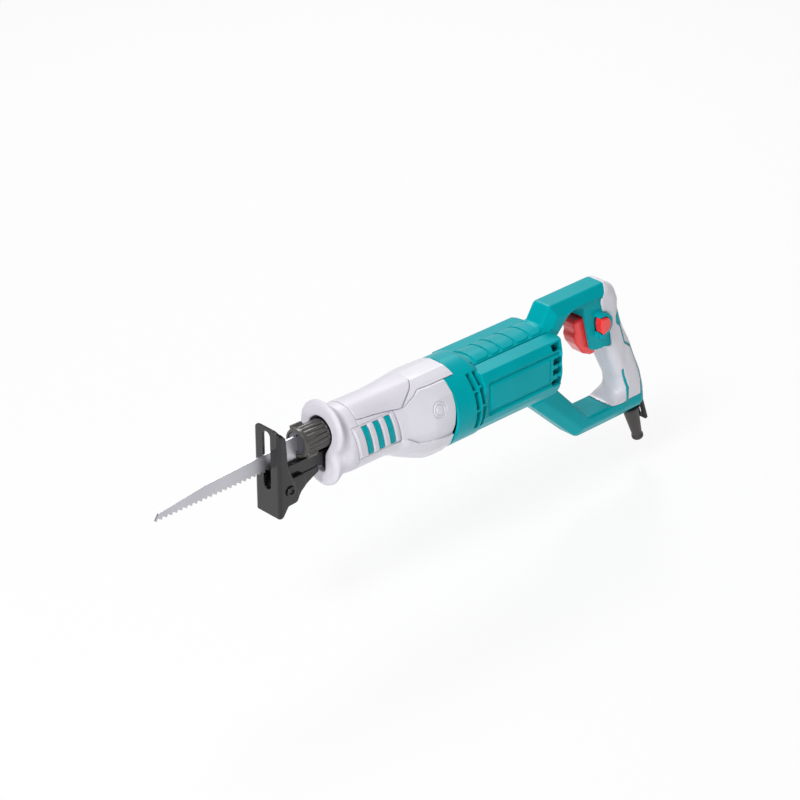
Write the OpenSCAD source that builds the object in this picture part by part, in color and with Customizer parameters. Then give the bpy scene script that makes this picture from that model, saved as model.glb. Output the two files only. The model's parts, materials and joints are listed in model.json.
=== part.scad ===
// Corded reciprocating saw with its blade fitted.
// Frame: +Z up, the blade points to -X, the handle is at +X.
// Origin: the mouth of the blade clamp, on the plunger's axis, at mid stroke.

/* [Blade] */
// Length of the blade from tip to tang end
blade_len = 150; // [100:1:230]
// Thickness of the blade
blade_t = 1.25; // [0.9:0.05:1.3]
// Distance from tooth to tooth
tooth_pitch = 4.23; // [2.5:0.01:6]
// Depth of a tooth
tooth_depth = 2.2; // [1:0.1:3]
// Height of the blade at its root
blade_root_h = 17; // [13:0.5:19]
// Height of the blade at its tip
blade_tip_h = 5.4; // [3:0.1:10]
// Distance of the tooth line under the plunger's axis
tooth_drop = 11; // [9:0.5:13]
// Length of the tang inside the clamp
tang_len = 27; // [25:0.5:28]

/* [Blade clamp] */
// Radius of the twist collar
collar_r = 10.5; // [10:0.1:10.8]
// Length of the twist collar
collar_len = 22.6; // [20:0.2:24]
// Radius over the collar's gripping ears
ear_r = 13; // [11.5:0.1:13.5]
// Number of ribs round the collar
collar_ribs = 18; // [10:1:24]
// Outer radius of the clamp's steel sleeve
sleeve_r = 8; // [7.7:0.1:8.2]
// Radius of the cross pin through the tang
clamp_pin_r = 1.9; // [1.5:0.1:2.2]

/* [Foot] */
// Width of the pivoting foot
foot_w = 25.6; // [25:0.2:32]
// Height of the foot's plate above the plunger's axis
foot_top = 23; // [18:0.5:30]
// Depth of the foot's plate under the plunger's axis
foot_drop = 44.5; // [40:0.5:50]
// Sheet thickness of the foot
foot_t = 2; // [1.5:0.1:2.2]
// Width of the slot for the blade
foot_slot_w = 7.2; // [5:0.1:9]
// Distance of the foot's front face before the clamp's mouth
foot_ahead = 26; // [25.5:0.5:34]
// Distance of the foot's pivot under the plunger's axis
pivot_drop = 25.2; // [24:0.2:27]
// Radius of the pivot pin
pivot_r = 2.5; // [2:0.1:3]
// Width of the sliding bar that carries the foot
bar_w = 8; // [6:0.2:8]
// Height of the sliding bar
bar_h = 11; // [9:0.2:11.4]

/* [Drive] */
// Full stroke of the blade
stroke = 20; // [14:0.5:20]
// Radius of the plunger's rod
rod_r = 7; // [6.8:0.1:7.2]
// Teeth of the crank gear
crank_teeth = 36; // [36:4:36]
// Teeth of the armature's pinion
pinion_teeth = 8; // [8:1:8]
// Radius at which pinion and crank gear mesh
mesh_r = 20.7; // [20:0.1:21]
// Radius of the roller on the crank pin
roller_r = 4; // [3.5:0.1:4.2]
// Distance of the motor's axis under the plunger's axis
motor_drop = 18.5; // [18.3:0.1:19]

/* [Nose cover] */
// Half width of the nose
nose_a = 20.6; // [20.4:0.1:22]
// Half height of the nose
nose_b = 25.4; // [25:0.1:27]
// Half width of the cover round the gears
gear_a = 30; // [29:0.1:31]
// Half height of the cover round the gears
gear_b = 32; // [31.5:0.1:33]
// Wall of the nose covers
cover_t = 2.2; // [1.8:0.1:2.3]
// Distance of the rubber mouth behind the clamp's mouth
mouth_x = 22; // [21:0.2:24]
// Number of teal inlays in each side grip
inlays = 3; // [2:1:4]

/* [Motor housing] */
// Outer radius of the motor housing
barrel_r = 29.2; // [28.6:0.1:30]
// Wall of the motor housing and handle
shell_t = 2.4; // [2:0.1:2.6]
// Length of the stator's iron core
stator_len = 38; // [30:1:40]
// Radius of the armature's iron core
armature_r = 14.4; // [13.5:0.1:14.6]
// Length of a vent slot
vent_len = 10; // [6:0.5:11]

/* [Handle] */
// Half width of the handle
handle_a = 13; // [12.8:0.1:15]
// Thickness of the white grip skin
skin_t = 2; // [1.5:0.1:2.2]
// Travel of the trigger
trigger_travel = 6; // [3:0.5:6]
// Half width of the trigger
trigger_a = 7; // [6:0.2:7.2]
// Travel of the lock button
lock_travel = 2.5; // [1.5:0.5:2.5]
// Radius of the cord's bore in the guard
cord_r = 3; // [2.6:0.1:3.2]
// Length of the cord guard outside the handle
guard_len = 39; // [30:1:45]

/* [Fits] */
// Radial clearance of a running fit
run_gap = 0.03; // [0.02:0.01:0.08]
// Clearance between parts that move apart
part_gap = 0.3; // [0.3:0.05:0.4]

/* [Hidden] */

$fn = 64;
teal = "#00a4aa";
white = "#e4e4ec";
steel = "#b4b8be";
dark = "#3c3c3e";
red = "#d81f26";
alloy = "#a8abb0";
copper = "#b56a35";
big = 400;
eps = 0.02;

// Stations of the white covers along X: [x, half width, half height, centre height]
crank_r = stroke / 2;
mouth_len = 20;
pad_x0 = mouth_x + mouth_len;
nose_end = mouth_x + 58;
nose_z = -10;
gear_z = -16.4;
crank_x = mouth_x + 82;
cover_end = crank_x + 30;
nose_stations = [
  [mouth_x, nose_a - 0.8, 32, -9, 0.42],
  [mouth_x + 3, nose_a - 0.4, 31.4, -9.2, 0.4],
  [mouth_x + 6.5, nose_a - 0.9, 28.5, -9.6, 0.25],
  [mouth_x + 11, nose_a - 0.4, nose_b + 0.6, nose_z, 0.08],
  [mouth_x + 15, nose_a, nose_b, nose_z, 0]];
cover_stations = [
  [pad_x0, nose_a, nose_b, nose_z, 0],
  [nose_end, nose_a, nose_b, nose_z, 0],
  [crank_x - 16, gear_a - 4.6, nose_b + 3, nose_z - 2.4, 0],
  [crank_x - 6, gear_a - 1.5, gear_b - 1.4, gear_z + 1.9, 0],
  [crank_x + 5, gear_a, gear_b - 0.2, gear_z + 0.2, 0],
  [cover_end, gear_a, gear_b, gear_z, 0]];
mouth_rx = 11.6;
mouth_slot_a = 5;
side_joint_x = crank_x + 20;
side_joint_z = 11;

// Side grips: a framed row of ribs on each flank of the nose
grip_x0 = mouth_x + 13;
grip_x1 = nose_end - 1;
grip_z0 = -21.5;
grip_z1 = 4.5;
grip_proud = 0.9;
grip_deep = 1.1;
grip_pitch = (grip_x1 - grip_x0) / (inlays + 1);
inlay_w = 4.8;

// Drive train
pinion_pitch_r = mesh_r * pinion_teeth / crank_teeth;
pinion_tip_r = pinion_pitch_r + 1;
pinion_root_r = 3.2;
mesh_w = 1.7;
crown_tip_z = -motor_drop + pinion_pitch_r - 0.9;
disc_bottom_z = -motor_drop + pinion_tip_r + part_gap + 0.1;
disc_top_z = -8.6;
rod_clear = part_gap + 0.2;
yoke_slot_half = roller_r + 0.2105 * crank_r + part_gap;
yoke_half_x = yoke_slot_half + 3;
yoke_half_y = crank_r + roller_r + part_gap + 1.5;
yoke_bottom_z = -4.6;
yoke_top_z = 4;
yoke_bevel = 3.9;
shaft_r = 5;
shaft_low_r = 3.5;
motor_shaft_r = 4;
bearing_w = 7;
crank_bearing_z = -27;
crank_bearing_r = 13;
low_bearing_w = 6;
low_bearing_r = 8;
low_bearing_z = -38.6;
case_t = 2;
case_floor_z = low_bearing_z - case_t;
pan_r = mesh_r + mesh_w + 2.6;
pan_floor_z = crown_tip_z - part_gap - 0.4;
pan_top_z = -5;
front_bearing_x = crank_x + 26;
front_bearing_r = 11;
case_back_x = crank_x + 35;
case_front_x = mouth_x + 20;
bush_len = 12;
bush_t = 2.5;
front_bush_x = case_front_x + 2.5;
rear_bush_x = crank_x - pan_r + case_t - 0.4 - bush_len;
nose_tube_r = rod_r + bush_t + 1.8;
flange_a = 15.9;
flange_t = 2.4;
case_screw_y = 13.2;
case_screw_head_r = 1.9;
case_screw_xs = [case_front_x + 6, rear_bush_x + 4];
lid_t = 1.5;
lid_top_z = yoke_top_z + part_gap + lid_t;
lid_a = yoke_half_y + part_gap + lid_t;
lid_x0 = crank_x - crank_r - yoke_half_x - part_gap - lid_t;
lid_x1 = crank_x + crank_r + yoke_half_x + part_gap + lid_t;
rod_bore_end = crank_x + crank_r - yoke_half_x + part_gap;

// Foot bar
bar_top_z = -max(tooth_drop, collar_r) - 0.6;
bar_bottom_z = bar_top_z - bar_h;
bar_back_x = mouth_x + 48;
bar_slot_end = bar_back_x + 16;
pivot_x = -foot_ahead + foot_t + 7.7;
lug_r = 7.2;
flange_in = foot_w / 2 - foot_t;
foot_screw_x = mouth_x + 30;
foot_screw_r = 3;

// Motor
motor_x0 = crank_x + 37;
fan_x = motor_x0;
fan_w = 9;
fan_r = 24;
baffle_x = fan_x + fan_w + 1.5;
coil_len = 7;
stator_x = baffle_x + 2 + coil_len + 1.5;
stator_r = barrel_r - shell_t - part_gap;
comm_x = stator_x + stator_len + coil_len + 2;
comm_r = 10.5;
comm_len = 11;
rear_bearing_x = comm_x + comm_len + 2;
barrel_end = rear_bearing_x + bearing_w + 6;
brush_x = comm_x + comm_len / 2;
brush_w = 5;
brush_h = 8;
brush_len = 9;
barrel_start = cover_end;
ring_r = 32.2;
ring_z = -16.8;
bore_r = barrel_r - shell_t;

// Handle, drawn in the X-Z plane from the back of the barrel
hx = barrel_end;
top_z = 24;
lock_x = hx + 57.5;
lock_z = -6;
lock_r = 7;
lock_flat = 4.5;
lock_out = 18;
lock_len = 6;
lock_floor = 8.4;
lock_rise = 3.5;
lock_ring_r = 9.5;
vent_w = 3.4;
vent_pitch = 7;
vent_turn = 24;
rear_vent_w = 3.2;
rear_vent_turn = 18;
rear_vent_len = 9;
body_start = barrel_start + 19.5;
body_len = hx - 1 - body_start;
body_half = [[12.5, 7.5], [24.6, 6.2], [28.3, -0.6], [29.2, -4], [29.2, -27], [26.6, -33], [20, -41.2]];
label_len = 50;
label_a = 28.8;
label_z0 = -27;
label_h = 19;
guard_angle = 20;
guard_x = hx + 108.5;
guard_z = -94;
guard_in = 12;
guard_neck_r = 5.2;
guard_top_r = 6.7;
guard_tip_r = 4;
guard_lip = 0.7;
clip_ring_r = 8.4;
clip_ring_t = 1.6;
clip_back = 10.6;
clip_t = 2.4;
clip_a = 5;
clip_len = 24;
guard_seat_z = 3.6;
clamp_y = -cord_r - 0.2;
clamp_t = 2.6;
clamp_post_x = 6;
clamp_post_r = 2.5;
clamp_screw_r = 1.4;
switch_x = hx + 61 + trigger_travel;
switch_len = 9.6;
switch_a = trigger_a;
switch_z0 = -27;
switch_z1 = 0;
hollow_a = handle_a - shell_t - skin_t;
screw_r = 1.6;
screw_head_r = 3.1;
boss_r = 4.2;
screw_spots = [[hx + 14, 8], [hx + 52, 9.5], [hx + 35, -76], [hx + 81, -88.5], [hx + 3, -49]];

// ---------- shapes ----------
// Points of a superellipse in Y-Z; skew widens its top and narrows its foot
function oval(a, b, z, skew = 0, n = 2.3, sides = 40) = [
  for (i = [0:sides - 1])
    let (t = 360 * i / sides, c = cos(t), s = sin(t))
      [sign(c) * pow(abs(c), 2 / n) * a * (1 + skew * s), z + sign(s) * pow(abs(s), 2 / n) * b]];

// Skin through ovals at stations, grown outward by g
module loft(stations, g = 0, sides = 40) {
  rings = len(stations);
  points = [for (s = stations, p = oval(s[1] + g, s[2] + g, s[3], s[4], 2.3, sides)) [s[0], p[0], p[1]]];
  walls = [
    for (k = [0:rings - 2], i = [0:sides - 1])
      let (j = (i + 1) % sides)
        [k * sides + i, (k + 1) * sides + i, (k + 1) * sides + j, k * sides + j]];
  first = [for (i = [0:sides - 1]) i];
  last = [for (i = [0:sides - 1]) rings * sides - 1 - i];
  polyhedron(points, concat([first], walls, [last]), convexity = 6);
}

// A drawing in (Y, Z) carried along +X
module along_x(x0, length) {
  translate([x0, 0, 0]) rotate([90, 0, 90]) linear_extrude(length) children();
}

// A drawing in (X, Z) carried along +Y
module across(y0, length) {
  translate([0, y0 + length, 0]) rotate([90, 0, 0]) linear_extrude(length) children();
}

module rod_x(x0, length, r) {
  translate([x0, 0, 0]) rotate([0, 90, 0]) cylinder(h = length, r = r);
}

module rod_y(x, z, y0, length, r) {
  translate([x, y0, z]) rotate([-90, 0, 0]) cylinder(h = length, r = r);
}

module tube_x(x0, length, r_out, r_in) {
  difference() {
    rod_x(x0, length, r_out);
    rod_x(x0 - 1, length + 2, r_in);
  }
}

module tube_z(z0, length, r_out, r_in) {
  translate([0, 0, z0]) difference() {
    cylinder(h = length, r = r_out);
    translate([0, 0, -1]) cylinder(h = length + 2, r = r_in);
  }
}

module block(x0, x1, half_y, z0, z1) {
  translate([x0, -half_y, z0]) cube([x1 - x0, 2 * half_y, z1 - z0]);
}

module at_motor() {
  translate([0, 0, -motor_drop]) children();
}

module at_crank() {
  translate([crank_x, 0, 0]) children();
}

// Near half (-Y) or far half (+Y) of what is given
module half(side) {
  intersection() {
    children();
    translate([-big, side < 0 ? -big : 0, -big]) cube([2 * big, big, 2 * big]);
  }
}

// Open coil of round wire along +Z
module coil(r, wire, height, turns, steps = 14, sides = 6) {
  count = turns * steps;
  rise = height - 2 * wire;
  points = [
    for (k = [0:count], i = [0:sides - 1])
      let (a = 360 * k / steps, b = 360 * i / sides, q = r + wire * cos(b))
        [q * cos(a), q * sin(a), wire + rise * k / count + wire * sin(b)]];
  walls = [
    for (k = [0:count - 1], i = [0:sides - 1])
      let (j = (i + 1) % sides)
        [k * sides + i, k * sides + j, (k + 1) * sides + j, (k + 1) * sides + i]];
  first = [for (i = [0:sides - 1]) sides - 1 - i];
  last = [for (i = [0:sides - 1]) count * sides + i];
  polyhedron(points, concat([first], walls, [last]), convexity = 10);
}

// ---------- white nose ----------
module mouth_opening(g = 0) {
  union() {
    circle(r = mouth_rx + g);
    translate([-mouth_slot_a - g, -29 - g]) square([2 * (mouth_slot_a + g), 30]);
    polygon([[-10.4 - g, -5], [10.4 + g, -5], [mouth_slot_a + g, -20], [-mouth_slot_a - g, -20]]);
  }
}

module nose_boot() {
  color(white) difference() {
    union() {
      loft(nose_stations);
      along_x(mouth_x + 15, mouth_len - 15) polygon(oval(nose_a, nose_b, nose_z));
    }
    along_x(mouth_x - 1, 8) mouth_opening();
    along_x(mouth_x + 5, mouth_len) polygon(oval(nose_a - 4, nose_b - 4.5, nose_z));
    grip_seats();
  }
}

// Solid of the covers, grown or shrunk by g
module cover_form(g = 0) {
  loft(cover_stations, g);
}

module upper_region() {
  across(-big, 2 * big) polygon([
    [0, grip_z1], [grip_x1, grip_z1], [crank_x - 5, side_joint_z], [cover_end + 1, side_joint_z],
    [cover_end + 1, 60], [0, 60]]);
}

module cover_cavity() {
  cover_form(-cover_t);
  along_x(pad_x0 - 1, 2) polygon(oval(nose_a - cover_t, nose_b - cover_t, nose_z));
  along_x(cover_end - 1, 2) polygon(oval(gear_a - cover_t, gear_b - cover_t, gear_z));
}

// Top panel seen from above: straight sides and a bowed back edge
module pad_outline() {
  back = nose_end + 19;
  wide = 14;
  bow = 26;
  linear_extrude(60) intersection() {
    translate([pad_x0 - 1, -wide]) square([back - pad_x0 + 1, 2 * wide]);
    union() {
      translate([back - bow, 0]) circle(r = bow);
      translate([pad_x0 - 1, -wide]) square([back - bow - pad_x0 + 1, 2 * wide]);
    }
  }
}

module pad_form(g = 0) {
  loft([for (s = [0:3]) cover_stations[s]], g);
}

module top_grip_pad() {
  color(white) intersection() {
    difference() {
      pad_form(0.5);
      pad_form(-1);
    }
    pad_outline();
    block(pad_x0, nose_end + 30, 40, 0, 60);
  }
}

module upper_cover() {
  color(white) difference() {
    intersection() {
      cover_form();
      upper_region();
    }
    cover_cavity();
    intersection() {
      pad_outline();
      difference() {
        pad_form(3);
        pad_form(-1);
      }
    }
  }
}

module grip_window(side) {
  translate([grip_x0, side < 0 ? -big : 0, grip_z0]) cube([grip_x1 - grip_x0, big, grip_z1 - grip_z0]);
}

module grip_ring(inner, outer) {
  along_x(grip_x0 - 4, grip_x1 - grip_x0 + 8) difference() {
    polygon(oval(nose_a + outer, nose_b + outer, nose_z));
    polygon(oval(nose_a + inner, nose_b + inner, nose_z));
  }
}

// Shallow seats in both flanks for the side grips
module grip_seats() {
  for (side = [-1, 1]) intersection() {
    grip_window(side);
    grip_ring(-grip_deep, 4);
  }
}

module lower_cover() {
  color(white) difference() {
    cover_form();
    upper_region();
    cover_cavity();
    grip_seats();
    across(-big, 2 * big)
      polygon([[side_joint_x, -big], [cover_end + 9, -big], [cover_end + 9, side_joint_z], [side_joint_x, side_joint_z]]);
    translate([foot_screw_x, 0, -60]) cylinder(h = 40, r = foot_screw_r + 1.4);
  }
}

module inlay_places(side) {
  for (i = [1:inlays])
    translate([grip_x0 + i * grip_pitch - inlay_w / 2, side < 0 ? -big : 0, grip_z0 + 1.6])
      cube([inlay_w, big, grip_z1 - grip_z0 - 3.2]);
}

module side_grip(side) {
  color(white) difference() {
    intersection() {
      grip_window(side);
      grip_ring(-grip_deep, grip_proud);
    }
    intersection() {
      inlay_places(side);
      grip_ring(-grip_deep / 2, 4);
    }
  }
}

module side_grip_left() { side_grip(-1); }

module side_grip_right() { side_grip(1); }

module grip_inlays() {
  color(teal) for (side = [-1, 1]) intersection() {
    inlay_places(side);
    grip_ring(-grip_deep / 2, grip_proud - 0.4);
  }
}

// ---------- gearcase ----------
module foot_bar_slot() {
  block(case_front_x - 1, bar_slot_end, bar_w / 2 + run_gap, bar_bottom_z - run_gap, bar_top_z + run_gap);
}

module gearcase() {
  color(alloy) difference() {
    union() {
      block(case_front_x, crank_x - 14, nose_tube_r, bar_bottom_z - 3.5, 0);
      block(case_front_x, lid_x0, flange_a, -flange_t, 0);
      at_crank() translate([0, 0, pan_floor_z - case_t]) cylinder(h = pan_top_z - pan_floor_z + case_t, r = pan_r);
      at_crank() translate([0, 0, crank_bearing_z - 7]) cylinder(h = 18, r = crank_bearing_r + case_t);
      at_crank() translate([0, 0, case_floor_z]) cylinder(h = 14, r = low_bearing_r + case_t);
      at_motor() rod_x(front_bearing_x - 2.6, case_back_x - front_bearing_x + 2.6, fan_r);
    }
    rod_x(0, crank_x, rod_r + rod_clear);
    rod_x(front_bush_x, bush_len, rod_r + bush_t);
    rod_x(rear_bush_x, bush_len + 20, rod_r + bush_t);
    rod_x(case_front_x - 1, 1 + front_bush_x - case_front_x, rod_r + bush_t + 1);
    translate([lid_x0, -pan_r, pan_top_z]) cube([60, 2 * pan_r, 20]);
    at_crank() translate([0, 0, pan_floor_z]) cylinder(h = 30, r = pan_r - case_t);
    at_crank() translate([0, 0, crank_bearing_z]) cylinder(h = 20, r = crank_bearing_r);
    at_crank() translate([0, 0, case_floor_z + case_t]) cylinder(h = 30, r = low_bearing_r);
    at_motor() rod_x(front_bearing_x - 8, 32, motor_shaft_r + 3);
    at_motor() rod_x(front_bearing_x, 30, front_bearing_r);
    foot_bar_slot();
    translate([foot_screw_x, 0, bar_bottom_z - 5]) cylinder(h = 6, r = foot_screw_r);
    for (x = case_screw_xs, y = [-case_screw_y, case_screw_y])
      translate([x, y, -flange_t - 1]) cylinder(h = flange_t + 2, r = screw_r);
  }
}

// Section of the box over the yoke: upright sides with bevelled top edges
module beveled(x0, x1, half_y, z0, z1, bevel) {
  along_x(x0, x1 - x0) polygon([
    [-half_y, z0], [half_y, z0], [half_y, z1 - bevel], [half_y - bevel, z1], [bevel - half_y, z1],
    [-half_y, z1 - bevel]]);
}

module gearcase_lid() {
  color(alloy) difference() {
    union() {
      intersection() {
        rod_x(case_front_x, lid_x0 - case_front_x, nose_tube_r);
        block(case_front_x, lid_x0, 30, 0, 30);
      }
      block(case_front_x, lid_x0, flange_a, 0, flange_t);
      intersection() {
        at_crank() translate([0, 0, pan_top_z]) cylinder(h = case_t, r = pan_r);
        block(lid_x0, big, big, pan_top_z, 30);
      }
      beveled(lid_x0, lid_x1, lid_a, pan_top_z, lid_top_z, yoke_bevel + 1.05);
      intersection() {
        rod_x(lid_x0, rod_bore_end + lid_t - lid_x0, rod_r + rod_clear + lid_t);
        block(lid_x0, big, 30, 0, 30);
      }
    }
    rod_x(0, rod_bore_end, rod_r + rod_clear);
    rod_x(front_bush_x, bush_len, rod_r + bush_t);
    rod_x(rear_bush_x, bush_len, rod_r + bush_t);
    rod_x(case_front_x - 1, 1 + front_bush_x - case_front_x, rod_r + bush_t + 1);
    beveled(lid_x0 + lid_t, lid_x1 - lid_t, lid_a - lid_t, pan_top_z - 1, lid_top_z - lid_t, yoke_bevel + 0.17);
    for (x = case_screw_xs, y = [-case_screw_y, case_screw_y])
      translate([x, y, -1]) cylinder(h = 20, r = screw_r);
  }
}

module gearcase_screws() {
  color(steel) for (x = case_screw_xs, y = [-case_screw_y, case_screw_y]) translate([x, y, 0]) {
    translate([0, 0, -flange_t]) cylinder(h = 2 * flange_t, r = screw_r);
    difference() {
      translate([0, 0, flange_t]) cylinder(h = 1.2, r = case_screw_head_r);
      translate([0, 0, flange_t + 1]) cube([0.5, 2.6, 1.4], center = true);
      translate([0, 0, flange_t + 1]) cube([2.6, 0.5, 1.4], center = true);
    }
  }
}

module front_bush() {
  color("#b08d57") tube_x(front_bush_x, bush_len, rod_r + bush_t, rod_r + run_gap);
}

module rear_bush() {
  color("#b08d57") tube_x(rear_bush_x, bush_len, rod_r + bush_t, rod_r + run_gap);
}

module plunger_seal() {
  color(dark) tube_x(case_front_x - 1.5, 1.5 + front_bush_x - case_front_x, rod_r + bush_t + 1, rod_r + run_gap);
}

// Ball bearing: two races with a row of balls between them, as one ring-shaped unit
module bearing(r_in, r_out, width) {
  middle = (r_in + r_out) / 2;
  race = (r_out - r_in) * 0.28;
  rotate_extrude() union() {
    translate([r_in, 0]) square([race, width]);
    translate([r_out - race, 0]) square([race, width]);
    translate([r_in + race, width * 0.2]) square([r_out - r_in - 2 * race, width * 0.6]);
  }
}

module crank_bearing_upper() {
  color(steel) at_crank() translate([0, 0, crank_bearing_z]) bearing(shaft_r + run_gap, crank_bearing_r, 8);
}

module crank_bearing_lower() {
  color(steel) at_crank() translate([0, 0, low_bearing_z])
    bearing(shaft_low_r + run_gap, low_bearing_r, low_bearing_w);
}

module front_bearing() {
  color(steel) at_motor() translate([front_bearing_x, 0, 0]) rotate([0, 90, 0])
    bearing(motor_shaft_r + run_gap, front_bearing_r, bearing_w);
}

module rear_bearing() {
  color(steel) at_motor() translate([rear_bearing_x, 0, 0]) rotate([0, 90, 0])
    bearing(motor_shaft_r + run_gap, front_bearing_r, bearing_w);
}

// ---------- crank and gears ----------
module crown_tooth() {
  low = crown_tip_z - disc_bottom_z;
  translate([mesh_r - mesh_w, 0, disc_bottom_z])
    rotate([90, 0, 90]) linear_extrude(2 * mesh_w)
      polygon([[-0.85, 0.01], [0.85, 0.01], [0.5, low], [-0.5, low]]);
}

module crank_gear() {
  color(steel) at_crank() difference() {
    union() {
      translate([0, 0, disc_bottom_z]) cylinder(h = disc_top_z - disc_bottom_z, r = mesh_r + mesh_w);
      translate([0, 0, crank_bearing_z + 8 + part_gap])
        cylinder(h = disc_bottom_z - crank_bearing_z - 8 - part_gap + eps, r = 8.5);
      for (i = [0:crank_teeth - 1]) rotate(360 * (i + 0.5) / crank_teeth) crown_tooth();
    }
    translate([0, 0, -40]) cylinder(h = 40, r = shaft_r);
    translate([0, crank_r, -20]) cylinder(h = 20, r = 2.5);
  }
}

module crank_shaft() {
  color(steel) at_crank() union() {
    translate([0, 0, crank_bearing_z]) cylinder(h = disc_top_z - crank_bearing_z, r = shaft_r);
    translate([0, 0, low_bearing_z]) cylinder(h = crank_bearing_z - low_bearing_z, r = shaft_low_r);
  }
}

module crank_roller() {
  color("#8f959c") at_crank() translate([0, crank_r, 0]) union() {
    translate([0, 0, disc_bottom_z]) cylinder(h = yoke_top_z - 1 - disc_bottom_z, r = 2.5);
    translate([0, 0, disc_top_z + 0.2]) cylinder(h = yoke_top_z - 2 - disc_top_z, r = roller_r);
  }
}

module pinion() {
  x0 = crank_x + mesh_r - mesh_w;
  color(steel) at_motor() difference() {
    union() {
      rod_x(x0, 2 * mesh_w + 0.6, pinion_root_r + 0.2);
      for (i = [0:pinion_teeth - 1]) rotate([360 * i / pinion_teeth, 0, 0])
        along_x(x0, 2 * mesh_w)
          polygon([[-0.8, 0], [0.8, 0], [0.8, pinion_root_r + 0.3], [0.42, pinion_tip_r], [-0.42, pinion_tip_r],
            [-0.8, pinion_root_r + 0.3]]);
    }
    rod_x(x0 - 1, 10, 2);
  }
}

// ---------- motor ----------
module armature_shaft() {
  x0 = crank_x + mesh_r - mesh_w;
  step_x = x0 + 2 * mesh_w + 0.6;
  color(steel) at_motor() union() {
    rod_x(x0, step_x - x0 + eps, 2);
    rod_x(step_x, rear_bearing_x + bearing_w - step_x, motor_shaft_r);
  }
}

module armature_core() {
  color("#6c6f73") at_motor() difference() {
    rod_x(stator_x, stator_len, armature_r);
    rod_x(stator_x - 1, stator_len + 2, motor_shaft_r);
    for (i = [0:11]) rotate([30 * i, 0, 0])
      translate([stator_x - 1, -0.8, armature_r - 5]) cube([stator_len + 2, 1.6, 8]);
  }
}

module armature_windings() {
  color(copper) at_motor() union() {
    for (i = [0:11]) rotate([30 * i, 0, 0])
      translate([stator_x, -0.8, armature_r - 5]) cube([stator_len, 1.6, 4.2]);
    tube_x(stator_x - coil_len + 1, coil_len - 1, 12.5, motor_shaft_r);
    tube_x(stator_x + stator_len, coil_len, 12.5, motor_shaft_r);
  }
}

module commutator() {
  color(copper) at_motor() difference() {
    rod_x(comm_x, comm_len, comm_r);
    rod_x(comm_x - 1, comm_len + 2, motor_shaft_r);
    for (i = [0:11]) rotate([30 * i + 15, 0, 0])
      translate([comm_x - 1, -0.3, comm_r - 0.8]) cube([comm_len + 2, 0.6, 2]);
  }
}

module cooling_fan() {
  blades = 9;
  color(dark) at_motor() difference() {
    union() {
      rod_x(fan_x, fan_w, 8);
      rod_x(fan_x + fan_w - 1.6, 1.6, fan_r);
      for (i = [0:blades - 1]) rotate([360 * i / blades, 0, 0])
        translate([fan_x + 1, -0.7, 7]) cube([fan_w - 1.5, 1.4, fan_r - 8]);
    }
    rod_x(fan_x - 1, fan_w + 2, motor_shaft_r);
  }
}

module fan_baffle() {
  color(dark) at_motor() tube_x(baffle_x, 2, stator_r, 17);
}

module stator_core() {
  color("#7c7f84") at_motor() difference() {
    rod_x(stator_x, stator_len, stator_r);
    rod_x(stator_x - 1, stator_len + 2, armature_r + 0.6);
    for (side = [-1, 1]) rotate([side * 90, 0, 0])
      along_x(stator_x - 1, stator_len + 2) difference() {
        intersection() {
          circle(r = 21.5);
          translate([-30, 3]) square([60, 30]);
        }
        translate([-9.5, 0]) square([19, 40]);
      }
  }
}

module stator_windings() {
  color(copper) at_motor() for (side = [-1, 1], end = [stator_x - coil_len, stator_x + stator_len])
    along_x(end, coil_len) rotate(side * 90) intersection() {
      difference() {
        circle(r = 21);
        circle(r = armature_r + 2);
      }
      translate([-30, 5]) square([60, 30]);
    }
}

module brush_holders() {
  color("#c9a35a") at_motor() for (side = [0, 180]) rotate([side, 0, 0]) difference() {
    translate([brush_x - brush_w / 2 - 1, comm_r + 1.5, -brush_h / 2 - 1])
      cube([brush_w + 2, bore_r - comm_r - 2.6, brush_h + 2]);
    translate([brush_x - brush_w / 2, comm_r, -brush_h / 2])
      cube([brush_w, bore_r - comm_r - 2.1, brush_h]);
  }
}

module carbon_brushes() {
  color("#2c2c2e") at_motor() for (side = [0, 180]) rotate([side, 0, 0])
    translate([brush_x - brush_w / 2, comm_r + 0.1, -brush_h / 2]) cube([brush_w, brush_len, brush_h]);
}

module brush_springs() {
  inner = comm_r + 0.1 + brush_len + eps;
  outer = comm_r + bore_r - comm_r - 2.1 - eps;
  color(steel) at_motor() for (side = [0, 180]) rotate([side, 0, 0])
    translate([brush_x, inner, 0]) rotate([-90, 0, 0]) coil(1.7, 0.3, outer - inner, 3, 10, 6);
}

// ---------- motor housing and D handle ----------
// Outline of the handle in X-Z, from the barrel's back and round the rear
module handle_outline() {
  translate([hx, 0]) polygon([
    [-10, -40], [-7, -52], [-3, -57], [38, -93], [45, -97], [105, -97], [113, -96], [117.5, -92],
    [116.4, -78], [111.4, -62], [103.4, -46], [97.4, -32], [90.4, -20], [85.4, -10], [81.6, 2], [81, 10],
    [76, 19], [67, 24.5], [61, top_z], [7, top_z], [-4, 8], [-10, 0]]);
}

// Outline of the hand opening in X-Z
module hand_outline() {
  translate([hx, 0]) polygon([
    [-1, -38], [10, -42], [35, -66], [49, -81], [74, -81], [82, -78], [85.4, -72], [84.4, -64], [75.6, -48],
    [66.8, -30.5], [55, -29], [52, -25], [41, 13], [27, 15], [23, 11], [14, 2], [5, -1], [-1, -6]]);
}

// Part of the handle that the white skin covers
module skin_outline() {
  translate([hx, 0]) polygon([
    [65, 40], [63, 25], [58, 14.5], [61, 1], [70, -18.5], [72, -28.6], [45, -26.5], [45, -60], [70, -81.5],
    [85, -83.2], [130, -82.8], [130, 40]]);
}

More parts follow.
